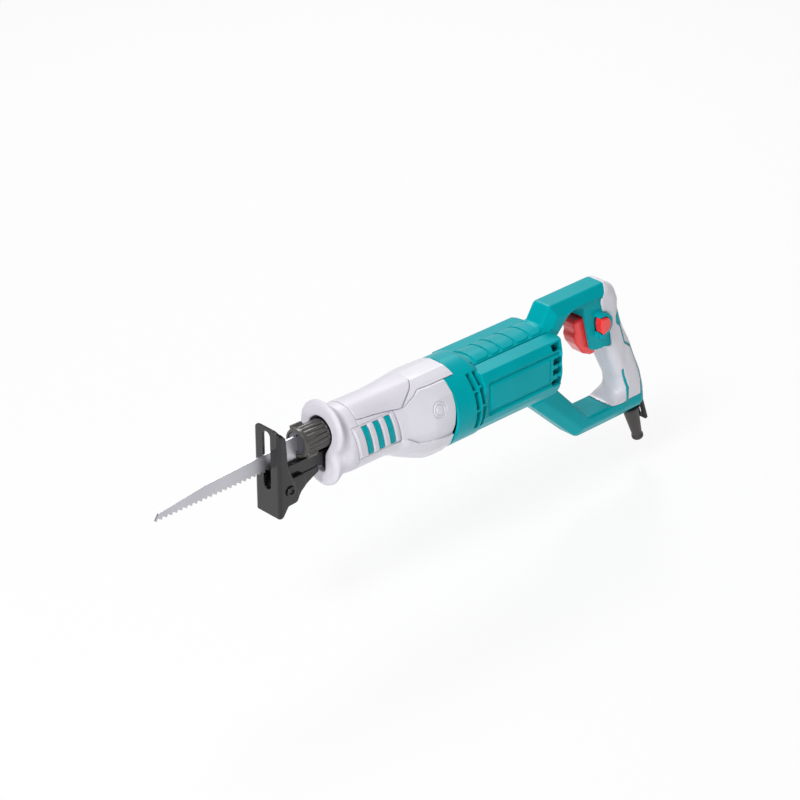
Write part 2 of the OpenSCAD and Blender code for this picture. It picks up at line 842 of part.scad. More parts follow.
// Cuts both outer corners along the edge from p to q, dy wide and dn deep, moved inward by g
module corner_cut(p, q, dy, dn, g) {
  run = norm(q - p);
  turn = atan2(q[1] - p[1], q[0] - p[0]);
  inward = g * [-dn, dy] / norm([dn, dy]);
  for (m = [0, 1]) mirror([0, m, 0])
    translate([hx + p[0], 0, p[1]]) rotate([0, -turn, 0]) along_x(-4, run + 8) translate(inward)
      polygon([[handle_a - 2.5 * dy, -1.5 * dn], [handle_a + 2 * dy, 3 * dn], [handle_a + 2 * dy, -1.5 * dn]]);
}

module handle_form(g = 0) {
  difference() {
    across(-handle_a + g, 2 * (handle_a - g)) difference() {
      offset(delta = -g) handle_outline();
      offset(delta = g) hand_outline();
    }
    corner_cut([-7, -57], [40, -95], 6, 8, g);
    corner_cut([40, -97], [120, -97], 6, 8, g);
    corner_cut([118, -94], [114.5, -70], 3.5, 5, g);
    corner_cut([115, -72], [97.4, -32], 3.5, 5, g);
    corner_cut([97.8, -33], [85.2, -10], 3.5, 5, g);
    corner_cut([85.8, -11], [80.4, 8], 3.5, 5, g);
    corner_cut([84, top_z + 0.6], [-8, top_z + 0.6], 4.5, 9, g);
  }
}

module skin_zone() {
  across(-big, 2 * big) skin_outline();
}

module at_guard() {
  translate([guard_x, 0, guard_z]) rotate([0, 180 - guard_angle, 0]) children();
}

// Key holder: a ring round the guard's neck, with a slotted tab behind the guard
module clip_form() {
  at_guard() difference() {
    translate([0, 0, guard_seat_z]) union() {
      cylinder(h = clip_ring_t, r = clip_ring_r);
      translate([-clip_back, -clip_a, 0]) cube([clip_back - guard_neck_r, 2 * clip_a, clip_ring_t]);
      translate([-clip_back, -clip_a, 0]) cube([clip_t, 2 * clip_a, clip_len - guard_seat_z]);
    }
    cylinder(h = clip_len, r = guard_neck_r);
  }
}

module guard_seat() {
  at_guard() union() {
    translate([0, 0, -guard_in]) cylinder(h = guard_in + 12, r = guard_neck_r);
    translate([0, 0, -8]) cylinder(h = 3, r = guard_top_r);
    translate([0, 0, guard_seat_z]) cylinder(h = 9, r = clip_back + part_gap);
  }
}

module trigger_slot() {
  across(-trigger_a - part_gap, 2 * (trigger_a + part_gap)) translate([hx, 0]) polygon([
    [30, 2 + part_gap], [60 + trigger_travel + part_gap, 2 + part_gap], [60 + trigger_travel + part_gap, -33 - part_gap],
    [40, -33 - part_gap], [30, -20]]);
}

module lock_outline(g = 0) {
  intersection() {
    circle(r = lock_r + g);
    translate([-lock_flat - g, -20]) square([40, 40]);
  }
}

// Round wire through points that all lie ahead of or behind each other along X or Z
module wire(points, r, sides = 8) {
  count = len(points);
  function way(k) = points[min(k + 1, count - 1)] - points[max(k - 1, 0)];
  rings = [
    for (k = [0:count - 1], i = [0:sides - 1])
      let (
        d = way(k) / norm(way(k)),
        u = [d[2], 0, -d[0]] / norm([d[2], 0, -d[0]]),
        v = cross(d, u),
        a = 360 * i / sides)
        points[k] + r * cos(a) * u + r * sin(a) * v];
  walls = [
    for (k = [0:count - 2], i = [0:sides - 1])
      let (j = (i + 1) % sides)
        [k * sides + i, (k + 1) * sides + i, (k + 1) * sides + j, k * sides + j]];
  first = [for (i = [0:sides - 1]) i];
  last = [for (i = [0:sides - 1]) count * sides - 1 - i];
  polyhedron(rings, concat([first], walls, [last]), convexity = 6);
}

// Middle of the two leads' way from the switch over the top arm to the brushes
lead_z = 18.4;
lead_low_z = 4.6;

module leads(r) {
  for (side = [-1, 1]) wire([
    [switch_x + 4, side * 3, switch_z1 + 0.05], [switch_x + 3.4, side * 2.8, 8], [switch_x - 0.4, side * 2.4, 15],
    [hx + 60, side * 2, lead_z], [hx + 17, side * 2, lead_z], [hx + 13, side * 2, 16.6], [hx + 5, side * 2, 8],
    [hx + 1, side * 2, lead_low_z], [rear_bearing_x - 0.5, side * 2.6, lead_low_z], [brush_x + 3.5, side * 8, 2.6],
    [brush_x + 1, side * 14, -3], [brush_x, side * 18, -motor_drop + brush_h / 2 + 1.05]], r);
}

// Ways for the leads through the barrel's back wall and along the top arm
module lead_channel() {
  block(brush_x, hx + 4, 4.5, lead_low_z - 2, lead_low_z + 2);
  block(hx + 15, hx + 62, 4.5, lead_z - 2, lead_z + 2);
}

module vents() {
  for (side = [0, 180]) {
    for (col = [0, 1], row = [-1:1])
      translate([side_joint_x + 12 + vent_pitch * col, 0, -16])
        rotate([(side == 0 ? 1 : -1) * row * vent_turn + side, 0, 0])
        translate([0, 22, -vent_len / 2]) cube([vent_w, 20, vent_len]);
    for (row = [-1.5:1.5])
      translate([rear_bearing_x + 2, 0, -motor_drop])
        rotate([(side == 0 ? 1 : -1) * row * rear_vent_turn + side, 0, 0])
          translate([0, bore_r - 1.5, -rear_vent_w / 2]) cube([rear_vent_len, 20, rear_vent_w]);
  }
}

// The points of one side of an outline again on the other side, in running order
function mirrored(points) = [for (i = [len(points) - 1:-1:0]) [-points[i][0], points[i][1]]];

module housing_form() {
  difference() {
    translate([0, 0, ring_z]) rod_x(side_joint_x, 24, ring_r);
    block(0, barrel_start, 60, side_joint_z, 60);
  }
  at_motor() rod_x(barrel_start + 8, hx - barrel_start - 11, barrel_r);
  at_motor() translate([hx - 3.01, 0, 0]) rotate([0, 90, 0]) cylinder(h = 3.01, r1 = barrel_r, r2 = barrel_r - 3);
  along_x(body_start, body_len) polygon(concat(body_half, mirrored(body_half)));
}

module housing_hollow() {
  translate([0, 0, ring_z]) rod_x(side_joint_x - 1, 22, ring_r - shell_t);
  at_motor() rod_x(side_joint_x + 18, hx - 3 - side_joint_x - 18, bore_r);
}

module housing_webs() {
  difference() {
    translate([0, 0, ring_z]) rod_x(case_back_x - 8, 2.4, ring_r - 1);
    at_motor() rod_x(case_back_x - 9, 5, fan_r);
    block(0, barrel_start, 60, side_joint_z - part_gap, 60);
  }
  at_motor() tube_x(rear_bearing_x, bearing_w, bore_r + 1, front_bearing_r);
  at_motor() tube_x(rear_bearing_x + bearing_w, 2, bore_r + 1, front_bearing_r - 3);
}

module housing() {
  color(teal) difference() {
    union() {
      difference() {
        union() {
          housing_form();
          handle_form();
        }
        intersection() {
          skin_zone();
          difference() {
            handle_form();
            handle_form(skin_t);
          }
        }
        housing_hollow();
        difference() {
          handle_form(shell_t + skin_t);
          block(0, hx, 60, -60, 30);
        }
      }
      housing_webs();
      for (spot = screw_spots) rod_y(spot[0], spot[1], -hollow_a - 1, 2 * hollow_a + 2, boss_r);
      for (side = [-1, 1]) translate([lock_x - 9, side < 0 ? -hollow_a - 1 : switch_a + part_gap, -16])
        cube([26, hollow_a + 1 - switch_a - part_gap, 19]);
      rod_y(lock_x, lock_z, -handle_a - lock_rise, 6, lock_ring_r);
      translate([lock_x - 13, -handle_a - lock_rise, lock_z - lock_ring_r]) cube([13, 6, 2 * lock_ring_r]);
    }
    translate([lock_x - 11.5, -handle_a - 4, lock_z - 6.5]) cube([7.4, 3.5, 13]);
    across(-lock_out - 5, lock_out + 5 - lock_floor) translate([lock_x, lock_z]) lock_outline(part_gap);
    trigger_slot();
    translate([switch_x - 1, -switch_a - part_gap, switch_z0 - 1])
      cube([switch_len + 2, 2 * (switch_a + part_gap), switch_z1 - switch_z0 + 2]);
    guard_seat();
    clip_form();
    lead_channel();
    vents();
    for (side = [-1, 1]) translate([barrel_start + 30, side < 0 ? -label_a - 20 : label_a, label_z0])
      cube([label_len, 20, label_h]);
    mirror([0, 1, 0]) for (spot = screw_spots) {
      rod_y(spot[0], spot[1], -handle_a - 9, handle_a + 3, screw_head_r + part_gap);
      rod_y(spot[0], spot[1], -handle_a, handle_a, screw_r + 0.2);
      rod_y(spot[0], spot[1], -0.5, 8.5, screw_r);
    }
  }
}

module housing_left() { half(-1) housing(); }

module housing_right() {
  half(1) housing();
  color(teal) cord_posts();
}

module rear_grip() {
  color(white) difference() {
    intersection() {
      skin_zone();
      difference() {
        handle_form();
        handle_form(skin_t);
      }
    }
    trigger_slot();
    guard_seat();
    clip_form();
    rod_y(lock_x, lock_z, -handle_a - lock_rise, 6, lock_ring_r);
    for (spot = screw_spots) rod_y(spot[0], spot[1], 0, big, screw_head_r + part_gap);
  }
}

module rear_grip_left() { half(-1) rear_grip(); }

module rear_grip_right() { half(1) rear_grip(); }

module housing_screws() {
  color(steel) mirror([0, 1, 0]) for (spot = screw_spots) difference() {
    union() {
      rod_y(spot[0], spot[1], -12.4, 2.4, screw_head_r);
      rod_y(spot[0], spot[1], -10, 18, screw_r);
    }
    translate([spot[0], -12.4, spot[1]]) cube([0.7, 2.4, 4.2], center = true);
    translate([spot[0], -12.4, spot[1]]) cube([4.2, 2.4, 0.7], center = true);
  }
}

// ---------- controls ----------
module trigger() {
  color(red) difference() {
    across(-trigger_a, 2 * trigger_a) translate([hx, 0]) polygon([
      [60, 1.6], [50, 2], [38, 1.4], [35.4, -0.5], [36, -5], [37.6, -9], [36.6, -13], [39, -19], [43, -24],
      [47.5, -29.5], [55, -33], [60, -33]]);
    translate([hx + 52, 0, -12]) rotate([0, 90, 0]) cylinder(h = 20, r = 4.2);
  }
}

module trigger_spring() {
  color(steel) translate([hx + 52.2, 0, -12]) rotate([0, 90, 0]) coil(3.2, 0.5, switch_x - hx - 52.4, 6, 10, 6);
}

module lock_button() {
  color(red) difference() {
    across(-lock_out, lock_len) translate([lock_x, lock_z]) lock_outline();
    rod_y(lock_x + 0.5, lock_z, -lock_out + lock_len - 2, 3, 3.4);
  }
}

module lock_spring() {
  color(steel) translate([lock_x + 0.5, -lock_out + lock_len - 1.9, lock_z]) rotate([-90, 0, 0])
    coil(2.6, 0.4, lock_out - lock_len + 1.8 - lock_floor, 3, 10, 6);
}

module switch_module() {
  shoulder = 3;
  color(dark) union() {
    block(switch_x, switch_x + switch_len, switch_a, switch_z0, switch_z1 - shoulder);
    block(switch_x + 2, switch_x + switch_len - 2, switch_a - 1.5, switch_z1 - shoulder, switch_z1);
    translate([0, 0, -12]) rod_x(switch_x - 4, 4, 2.2);
  }
}

module switch_leads() {
  color("#7a1d1d") leads(0.9);
}

// ---------- cord outlet ----------
module cord_guard() {
  cone_z = guard_seat_z + clip_ring_t;
  color(dark) at_guard() difference() {
    union() {
      translate([0, 0, -guard_in]) cylinder(h = guard_in + cone_z, r = guard_neck_r);
      translate([0, 0, -8]) cylinder(h = 3, r = guard_top_r);
      translate([0, 0, cone_z]) cylinder(h = guard_len - 4 - cone_z, r1 = guard_top_r, r2 = guard_tip_r);
      translate([0, 0, guard_len - 4]) cylinder(h = 4, r = guard_tip_r + guard_lip);
    }
    translate([0, 0, -guard_in - 1]) cylinder(h = guard_in + guard_len + 2, r = cord_r);
  }
}

// Posts of the right half, beside the cord's way, that carry the clamp bar
module at_clamp() {
  at_guard() translate([0, 0, -guard_in - 8]) children();
}

module cord_posts() {
  for (side = [-1, 1]) at_clamp() translate([side * clamp_post_x, 0, 0]) difference() {
    rotate([-90, 0, 0]) translate([0, 0, clamp_y]) cylinder(h = hollow_a + 1 - clamp_y, r = clamp_post_r);
    rotate([-90, 0, 0]) translate([0, 0, clamp_y - 1]) cylinder(h = 10, r = clamp_screw_r);
  }
}

module cord_clamp() {
  color(dark) at_clamp() difference() {
    translate([-clamp_post_x - clamp_post_r, clamp_y - clamp_t, -4])
      cube([2 * (clamp_post_x + clamp_post_r), clamp_t, 8]);
    for (side = [-1, 1]) translate([side * clamp_post_x, clamp_y - clamp_t - 1, 0])
      rotate([-90, 0, 0]) cylinder(h = clamp_t + 2, r = clamp_screw_r);
  }
}

module cord_clamp_screws() {
  color(steel) for (side = [-1, 1]) at_clamp() translate([side * clamp_post_x, clamp_y - clamp_t, 0])
    rotate([-90, 0, 0]) {
      cylinder(h = clamp_t + 8, r = clamp_screw_r);
      translate([0, 0, -1.4]) cylinder(h = 1.4, r = clamp_screw_r + 1.1);
    }
}

module key_clip() {
  color(dark) difference() {
    clip_form();
    at_guard() translate([-clip_back - 1, -1.8, 10]) cube([clip_t + 2, 3.6, 11]);
  }
}

// ---------- plunger, clamp and blade ----------
module plunger() {
  yoke_x0 = crank_x - yoke_half_x;
  slot_y = crank_r + roller_r + part_gap;
  color(steel) difference() {
    union() {
      rod_x(1, yoke_x0 - 1 + eps, rod_r);
      beveled(yoke_x0, crank_x + yoke_half_x, yoke_half_y, yoke_bottom_z, yoke_top_z, yoke_bevel);
    }
    block(-1, tang_len + 0.5, blade_t / 2 + 0.06, -9, 9);
    block(crank_x - yoke_slot_half, crank_x + yoke_slot_half, slot_y, -20, 20);
    rod_y(8, 0, -10, 20, clamp_pin_r);
  }
}

module clamp_sleeve() {
  color(steel) difference() {
    tube_x(1, 20, sleeve_r, rod_r);
    rod_y(8, 0, -10, 20, clamp_pin_r);
  }
}

module clamp_pin() {
  color(steel) intersection() {
    rod_y(8, 0, -10, 20, clamp_pin_r);
    rod_x(0, 20, sleeve_r);
  }
}

module collar_spring() {
  color(steel) translate([12.4, 0, 0]) rotate([0, 90, 0]) coil(sleeve_r + 0.75, 0.4, 8, 4, 16, 6);
}

module collar_ring() {
  color(steel) tube_x(0.4 + collar_len + part_gap, 1.2, 9.4, rod_r);
}

module blade() {
  tip = tang_len - blade_len;
  low = -tooth_drop;
  teeth = floor((-tip - 10) / tooth_pitch);
  hook = tooth_depth * 0.35;
  saw = [for (i = [0:teeth - 1], k = [0, 1])
    let (x = tip + 1.5 + i * tooth_pitch) k == 0 ? [x, low] : [x + hook, low + tooth_depth]];
  color("#b9bcc4") across(-blade_t / 2, blade_t) difference() {
    polygon(concat(saw, [
      [tip + 1.5 + teeth * tooth_pitch, low], [-0.2, low], [-0.2, -5.5], [tang_len, -5.5], [tang_len, -1.9],
      [17, -1.9], [16, 5.5], [-0.2, 5.5], [-0.2, low + blade_root_h], [-11, low + blade_root_h],
      [-12.5, low + blade_root_h - 3], [tip + 83, low + 13], [tip + 43, low + 11], [tip + 3, low + blade_tip_h],
      [tip, low + 1]]));
    translate([8, 0]) circle(r = clamp_pin_r + 0.1);
  }
}

module collar() {
  color("#555558") difference() {
    union() {
      rod_x(0.4, collar_len, collar_r);
      for (angle = [55, 215]) rotate([angle, 0, 0])
        translate([2, 8.5, -2.3]) cube([9, ear_r - 8.5, 4.6]);
    }
    rod_x(-1, 40, sleeve_r + part_gap);
    rod_x(11.5, 40, collar_r - 0.9);
    for (i = [0:collar_ribs - 1]) rotate([360 * i / collar_ribs + 3, 0, 0])
      translate([12.5, collar_r - 0.5, -0.45]) cube([collar_len - 14, 2, 0.9]);
  }
}

// ---------- foot ----------
module foot_bar() {
  color(dark) difference() {
    union() {
      block(pivot_x, bar_back_x, bar_w / 2, bar_bottom_z, bar_top_z);
      rod_y(pivot_x, -pivot_drop, -flange_in + part_gap, 2 * (flange_in - part_gap), lug_r);
      across(-flange_in + part_gap, 2 * (flange_in - part_gap)) polygon([
        [pivot_x, -8.4], [-15, -8.4], [-10.6, -20], [-10.6, -28], [pivot_x, -30]]);
      across(-7, 14) polygon([
        [pivot_x, -20], [2, -20], [4, -30], [-1, -34], [-3.5, -38], [-8, -38], [pivot_x, -pivot_drop - lug_r]]);
      across(-bar_w / 2, bar_w) polygon([[-2, -20], [20, -20], [17, -24], [9, -27], [2, -31]]);
    }
    block(-60, -9, 2.2, -tooth_drop - 2, 0);
    rod_y(pivot_x, -pivot_drop, -20, 40, pivot_r);
  }
}

module pivot_pin() {
  color(steel) union() {
    rod_y(pivot_x, -pivot_drop, -foot_w / 2 - part_gap, foot_w + 2 * part_gap, pivot_r);
    for (y = [-foot_w / 2 - part_gap - 1, foot_w / 2 + part_gap]) rod_y(pivot_x, -pivot_drop, y, 1, pivot_r + 1.4);
  }
}

module foot_plate() {
  front = -foot_ahead;
  back = front + foot_t;
  color(dark) difference() {
    union() {
      along_x(front, foot_t) difference() {
        union() {
          translate([-foot_w / 2, -foot_drop + 4]) square([foot_w, foot_top + foot_drop - 8]);
          translate([-foot_w / 2 + 4, -foot_drop]) square([foot_w - 8, foot_top + foot_drop]);
          for (y = [-1, 1], z = [-foot_drop + 4, foot_top - 4]) translate([y * (foot_w / 2 - 4), z]) circle(r = 4);
        }
        translate([0, foot_top - 7.2]) circle(r = foot_slot_w / 2);
        translate([0, -21]) circle(r = foot_slot_w / 2);
        translate([-foot_slot_w / 2, -21]) square([foot_slot_w, foot_top + 13.8]);
      }
      for (side = [0, 1]) mirror([0, side, 0]) across(flange_in, foot_t) polygon([
        [back - 0.5, foot_top - 4.5], [back + 4.8, foot_top - 4.8], [back + 5.3, 5], [back + 5.8, -7.2], [back + 8, -14.2],
        [back + 11.1, -21], [back + 14.9, -27.4], [back + 15.6, -32.5], [back + 13.9, -36], [back + 5.8, -36.4],
        [back + 2.9, -foot_drop + 3.9], [back + 1.1, -foot_drop + 1], [back - 0.5, -foot_drop + 1.8]]);
    }
    rod_y(pivot_x, -pivot_drop, -20, 40, pivot_r + run_gap);
  }
}

module foot_screw() {
  low = bar_bottom_z - 3.5;
  color(steel) difference() {
    union() {
      translate([foot_screw_x, 0, low]) cylinder(h = 3.5 - run_gap, r = foot_screw_r);
      translate([foot_screw_x, 0, low - 4]) cylinder(h = 4, r = foot_screw_r + 1.2);
    }
    translate([foot_screw_x, 0, low - 5]) cylinder(h = 3.5, r = 2, $fn = 6);
  }
}

nose_boot();
upper_cover();
lower_cover();
top_grip_pad();
side_grip_left();
side_grip_right();
grip_inlays();
gearcase();
gearcase_lid();
gearcase_screws();
front_bush();
rear_bush();
plunger_seal();
crank_bearing_upper();
crank_bearing_lower();
housing_left();
housing_right();
rear_grip_left();
rear_grip_right();
housing_screws();
stator_core();
stator_windings();
fan_baffle();
front_bearing();
rear_bearing();
brush_holders();
carbon_brushes();
brush_springs();
switch_module();
switch_leads();
cord_guard();
cord_clamp();
cord_clamp_screws();
key_clip();
foot_screw();
armature_shaft();
armature_core();
armature_windings();
commutator();
cooling_fan();
pinion();
crank_gear();
crank_shaft();
crank_roller();
plunger();
clamp_sleeve();
clamp_pin();
collar_spring();
collar_ring();
blade();
collar();
foot_bar();
pivot_pin();
foot_plate();
trigger();
trigger_spring();
lock_button();
lock_spring();
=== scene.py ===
"""Looks of a corded reciprocating saw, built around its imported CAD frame.

Moulded and pressed pieces are described as distance fields in millimetres: negative inside, with rounded unions
and cuts, as a designer would blend and fillet them. Each field is meshed on its own grid, thinned, given the
field's own normals, and rides on its CAD body.
"""

import json
import math
from functools import partial

import bpy
import numpy as np
from mathutils import Matrix, Vector


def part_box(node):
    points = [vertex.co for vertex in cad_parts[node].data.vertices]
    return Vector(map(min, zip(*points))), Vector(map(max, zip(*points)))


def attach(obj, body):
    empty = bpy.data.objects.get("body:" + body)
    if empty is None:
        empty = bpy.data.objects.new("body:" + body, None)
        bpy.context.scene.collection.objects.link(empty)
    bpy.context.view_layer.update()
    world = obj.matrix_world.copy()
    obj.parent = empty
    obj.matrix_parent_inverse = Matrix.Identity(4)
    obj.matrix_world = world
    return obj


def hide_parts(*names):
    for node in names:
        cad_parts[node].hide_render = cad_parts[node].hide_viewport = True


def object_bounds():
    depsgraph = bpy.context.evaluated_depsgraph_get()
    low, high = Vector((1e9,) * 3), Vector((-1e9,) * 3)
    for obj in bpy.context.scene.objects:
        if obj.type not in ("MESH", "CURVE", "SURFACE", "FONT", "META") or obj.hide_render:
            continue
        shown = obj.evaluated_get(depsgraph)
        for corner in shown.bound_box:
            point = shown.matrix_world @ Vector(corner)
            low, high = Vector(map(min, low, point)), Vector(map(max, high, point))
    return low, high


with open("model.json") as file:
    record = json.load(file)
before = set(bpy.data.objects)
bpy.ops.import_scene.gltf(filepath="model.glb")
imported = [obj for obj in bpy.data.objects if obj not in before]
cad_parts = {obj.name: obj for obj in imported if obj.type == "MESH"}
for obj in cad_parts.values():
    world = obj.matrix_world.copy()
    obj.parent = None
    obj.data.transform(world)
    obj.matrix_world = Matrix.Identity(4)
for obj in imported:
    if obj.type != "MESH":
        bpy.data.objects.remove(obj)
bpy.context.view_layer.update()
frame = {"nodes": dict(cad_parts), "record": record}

MM = 0.001


# ---------- places from the frame, in millimetres ----------
def low(node):
    """Lower corner of a CAD node's box."""
    return np.array(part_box(node)[0]) / MM


def high(node):
    """Upper corner of a CAD node's box."""
    return np.array(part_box(node)[1]) / MM


def middle(node):
    """Middle of a CAD node's box."""
    return (low(node) + high(node)) / 2


# The white nose and gear cover
MOUTH_X = low("nose_boot")[0]
BOOT_BACK = high("nose_boot")[0]
COVER_END = high("upper_cover")[0]
SIDE_JOINT_X = low("housing_left")[0]
SIDE_JOINT_Z = 11.0
GRIP_LO = low("side_grip_left")
GRIP_HI = high("side_grip_left")
NOSE_Z = -10.0
NOSE_A = 20.6
NOSE_B = 25.4

# The motor's barrel and the ring in front of it
STATOR_WALL = 2.7
MOTOR_Z = middle("stator_core")[2]
BARREL_R = (high("stator_core") - low("stator_core"))[1] / 2 + STATOR_WALL
BARREL_END = high("rear_bearing")[0] + 6
RING_R = high("housing_right")[1]
RING_Z = -16.8
WALL = 2.4

# The handle; its outlines below count X from BARREL_END
HANDLE_A = high("rear_grip_right")[1]
SKIN = 2.0
LOCK_X = low("lock_button")[0] + 4.5
LOCK_Z = middle("lock_button")[2]
LOCK_OUT = low("lock_button")[1]
GUARD_ANGLE = math.radians(20)
GUARD_X = BARREL_END + 108.5
GUARD_Z = -94.0

# The foot
PIVOT_X, _, PIVOT_Z = middle("pivot_pin")


# ---------- fields ----------
FAR = 1e3


def join(a, b, r=0.0):
    """Union of two fields, with a fillet of radius r in the corner between them."""
    if np.isscalar(r) and r == 0:
        return np.minimum(a, b)
    inside = np.maximum(r - a, 0) ** 2 + np.maximum(r - b, 0) ** 2
    return np.maximum(np.minimum(a, b), r) - np.sqrt(inside)


def meet(a, b, r=0.0):
    """Intersection of two fields, with the new edge rounded to radius r."""
    return -join(-a, -b, r)


def cut(a, b, r=0.0):
    """Field a with field b taken away, its rim rounded to radius r."""
    return meet(a, -b, r)


def ease(t, start, end):
    """A share that eases from 0 to 1 while t goes from start to end."""
    t = np.clip((t - start) / (end - start), 0, 1)
    return t * t * (3 - 2 * t)


def box2(u, v, half_u, half_v, r=0.0):
    """Distance to a rectangle about the origin of the u-v plane, its corners rounded to radius r."""
    du = np.abs(u) - half_u + r
    dv = np.abs(v) - half_v + r
    return np.hypot(np.maximum(du, 0), np.maximum(dv, 0)) + np.minimum(np.maximum(du, dv), 0) - r


def slab(u, lo, hi):
    """Distance to the layer where u lies from lo to hi."""
    return np.abs(u - (lo + hi) / 2) - (hi - lo) / 2


ARC_STEPS = 7
ARC_SHARE = 0.49
SHORTEST_ARC = 0.02
NEARLY_STRAIGHT = 1.56


def fillet(corners):
    """A closed outline with its corners turned into arcs; each corner is its u, its v and its radius."""
    points = [np.array(corner[:2], float) for corner in corners]
    out = []
    for k, p in enumerate(points):
        to_a = points[k - 1] - p
        to_b = points[(k + 1) % len(points)] - p
        len_a, len_b = np.linalg.norm(to_a), np.linalg.norm(to_b)
        to_a, to_b = to_a / len_a, to_b / len_b
        half = math.acos(np.clip(to_a @ to_b, -1, 1)) / 2
        back = 0
        if half < NEARLY_STRAIGHT:
            back = min(corners[k][2] / math.tan(half), ARC_SHARE * len_a, ARC_SHARE * len_b)
        if back < SHORTEST_ARC:
            out.append(p)
            continue
        r = back * math.tan(half)
        centre = p + (to_a + to_b) / np.linalg.norm(to_a + to_b) * (r / math.sin(half))
        start, end = p + to_a * back - centre, p + to_b * back - centre
        turn = math.atan2(start[0] * end[1] - start[1] * end[0], start @ end)
        for i in range(ARC_STEPS + 1):
            t = turn * i / ARC_STEPS
            c, s = math.cos(t), math.sin(t)
            out.append(centre + np.array([c * start[0] - s * start[1], s * start[0] + c * start[1]]))
    return np.array(out)


def outline(u, v, points):
    """Distance to a closed outline in the u-v plane."""
    shape = np.broadcast(u, v).shape
    best = np.full(shape, FAR ** 2)
    sign = np.ones(shape)
    for k, a in enumerate(points):
        b = points[k - 1]
        e = b - a
        wu, wv = u - a[0], v - a[1]
        t = np.clip((wu * e[0] + wv * e[1]) / (e @ e + 1e-12), 0, 1)
        best = np.minimum(best, (wu - e[0] * t) ** 2 + (wv - e[1] * t) ** 2)
        above, below = v >= a[1], v < b[1]
        left = e[0] * wv > e[1] * wu
        sign = np.where((above & below & left) | (~above & ~below & ~left), -sign, sign)
    return sign * np.sqrt(best)


CHART_STEP = 0.25
CHART_MARGIN = 14


def chart(corners):
    """A filleted outline as a field of the plane, read from a fine table of its distances."""
    ring = fillet(corners)
    lo = ring.min(0) - CHART_MARGIN
    count = ((ring.max(0) + CHART_MARGIN - lo) / CHART_STEP).astype(int) + 2
    us, vs = (lo[n] + CHART_STEP * np.arange(count[n]) for n in (0, 1))
    table = outline(us[:, None], vs[None, :], ring)

    def at(u, v):
        a = np.clip((u - lo[0]) / CHART_STEP, 0, count[0] - 1.001)
        b = np.clip((v - lo[1]) / CHART_STEP, 0, count[1] - 1.001)
        i, j = a.astype(int), b.astype(int)
        s, t = a - i, b - j
        near = table[i, j] * (1 - s) + table[i + 1, j] * s
        far = table[i, j + 1] * (1 - s) + table[i + 1, j + 1] * s
        return near * (1 - t) + far * t

    return at


def oval(y, z, a, b, power=2.3):
    """Distance to a superellipse, measured along the ray from its middle."""
    reach = np.hypot(y, z)
    q = (np.abs(y / a) ** power + np.abs(z / b) ** power) ** (1 / power)
    return reach * (1 - 1 / np.maximum(q, 1e-3))


PROFILE_STEP = 0.5


def profile(stations, soft):
    """A smooth curve through (x, value) stations, softened over the given length."""
    xs = np.arange(stations[0][0] - 4 * soft, stations[-1][0] + 4 * soft, PROFILE_STEP)
    ys = np.interp(xs, [s[0] for s in stations], [s[1] for s in stations])
    width = max(1, int(soft / PROFILE_STEP))
    kernel = np.hanning(2 * width + 3)
    ys = np.convolve(np.pad(ys, width + 1, mode="edge"), kernel / kernel.sum(), mode="valid")
    return lambda x: np.interp(x, xs, ys)


# ---------- meshing ----------
# The grid is sampled in cubes of BLOCK cells, and only where a cube's middle lies near the surface: within half its
# diagonal, times the most that a field overstates its distance, plus a margin in millimetres.
BLOCK = 8
HALF_DIAGONAL = 0.87
OVERSTATED = 1.5
BLOCK_MARGIN = 0.5
BATCH = 2000
CORNERS = [(i, j, k) for i in (0, 1) for j in (0, 1) for k in (0, 1)]


def active_blocks(field, lo, counts, pitch):
    """Blocks of the grid that the surface may cross."""
    index = np.stack(np.meshgrid(*[np.arange(n) for n in counts], indexing="ij"), -1).reshape(-1, 3)
    size = BLOCK * pitch
    centre = lo + (index + 0.5) * size
    d = np.abs(field(centre[:, 0], centre[:, 1], centre[:, 2]))
    return index[d < size * HALF_DIAGONAL * OVERSTATED + BLOCK_MARGIN]


def net_vertices(values, corner, lo, pitch):
    """One vertex for each grid cell that the surface crosses, with that cell's place in the grid."""
    inside = values < 0
    cells = [inside[:, i:i + BLOCK, j:j + BLOCK, k:k + BLOCK] for i, j, k in CORNERS]
    total = sum(c.astype(np.int8) for c in cells)
    block, ci, cj, ck = np.nonzero((total > 0) & (total < 8))
    at = {(i, j, k): values[block, ci + i, cj + j, ck + k] for i, j, k in CORNERS}
    summed = np.zeros((len(block), 3))
    hits = np.zeros(len(block))
    for a in CORNERS:
        for axis in range(3):
            if a[axis]:
                continue
            b = tuple(1 if n == axis else a[n] for n in range(3))
            crosses = (at[a] < 0) != (at[b] < 0)
            gap = np.where(crosses, at[a] - at[b], 1)
            t = np.where(crosses, at[a] / gap, 0)
            for n in range(3):
                summed[:, n] += crosses * (a[n] + (t if n == axis else 0))
            hits += crosses
    cell = corner[block] + np.stack([ci, cj, ck], -1)
    return lo + (cell + summed / hits[:, None]) * pitch, cell


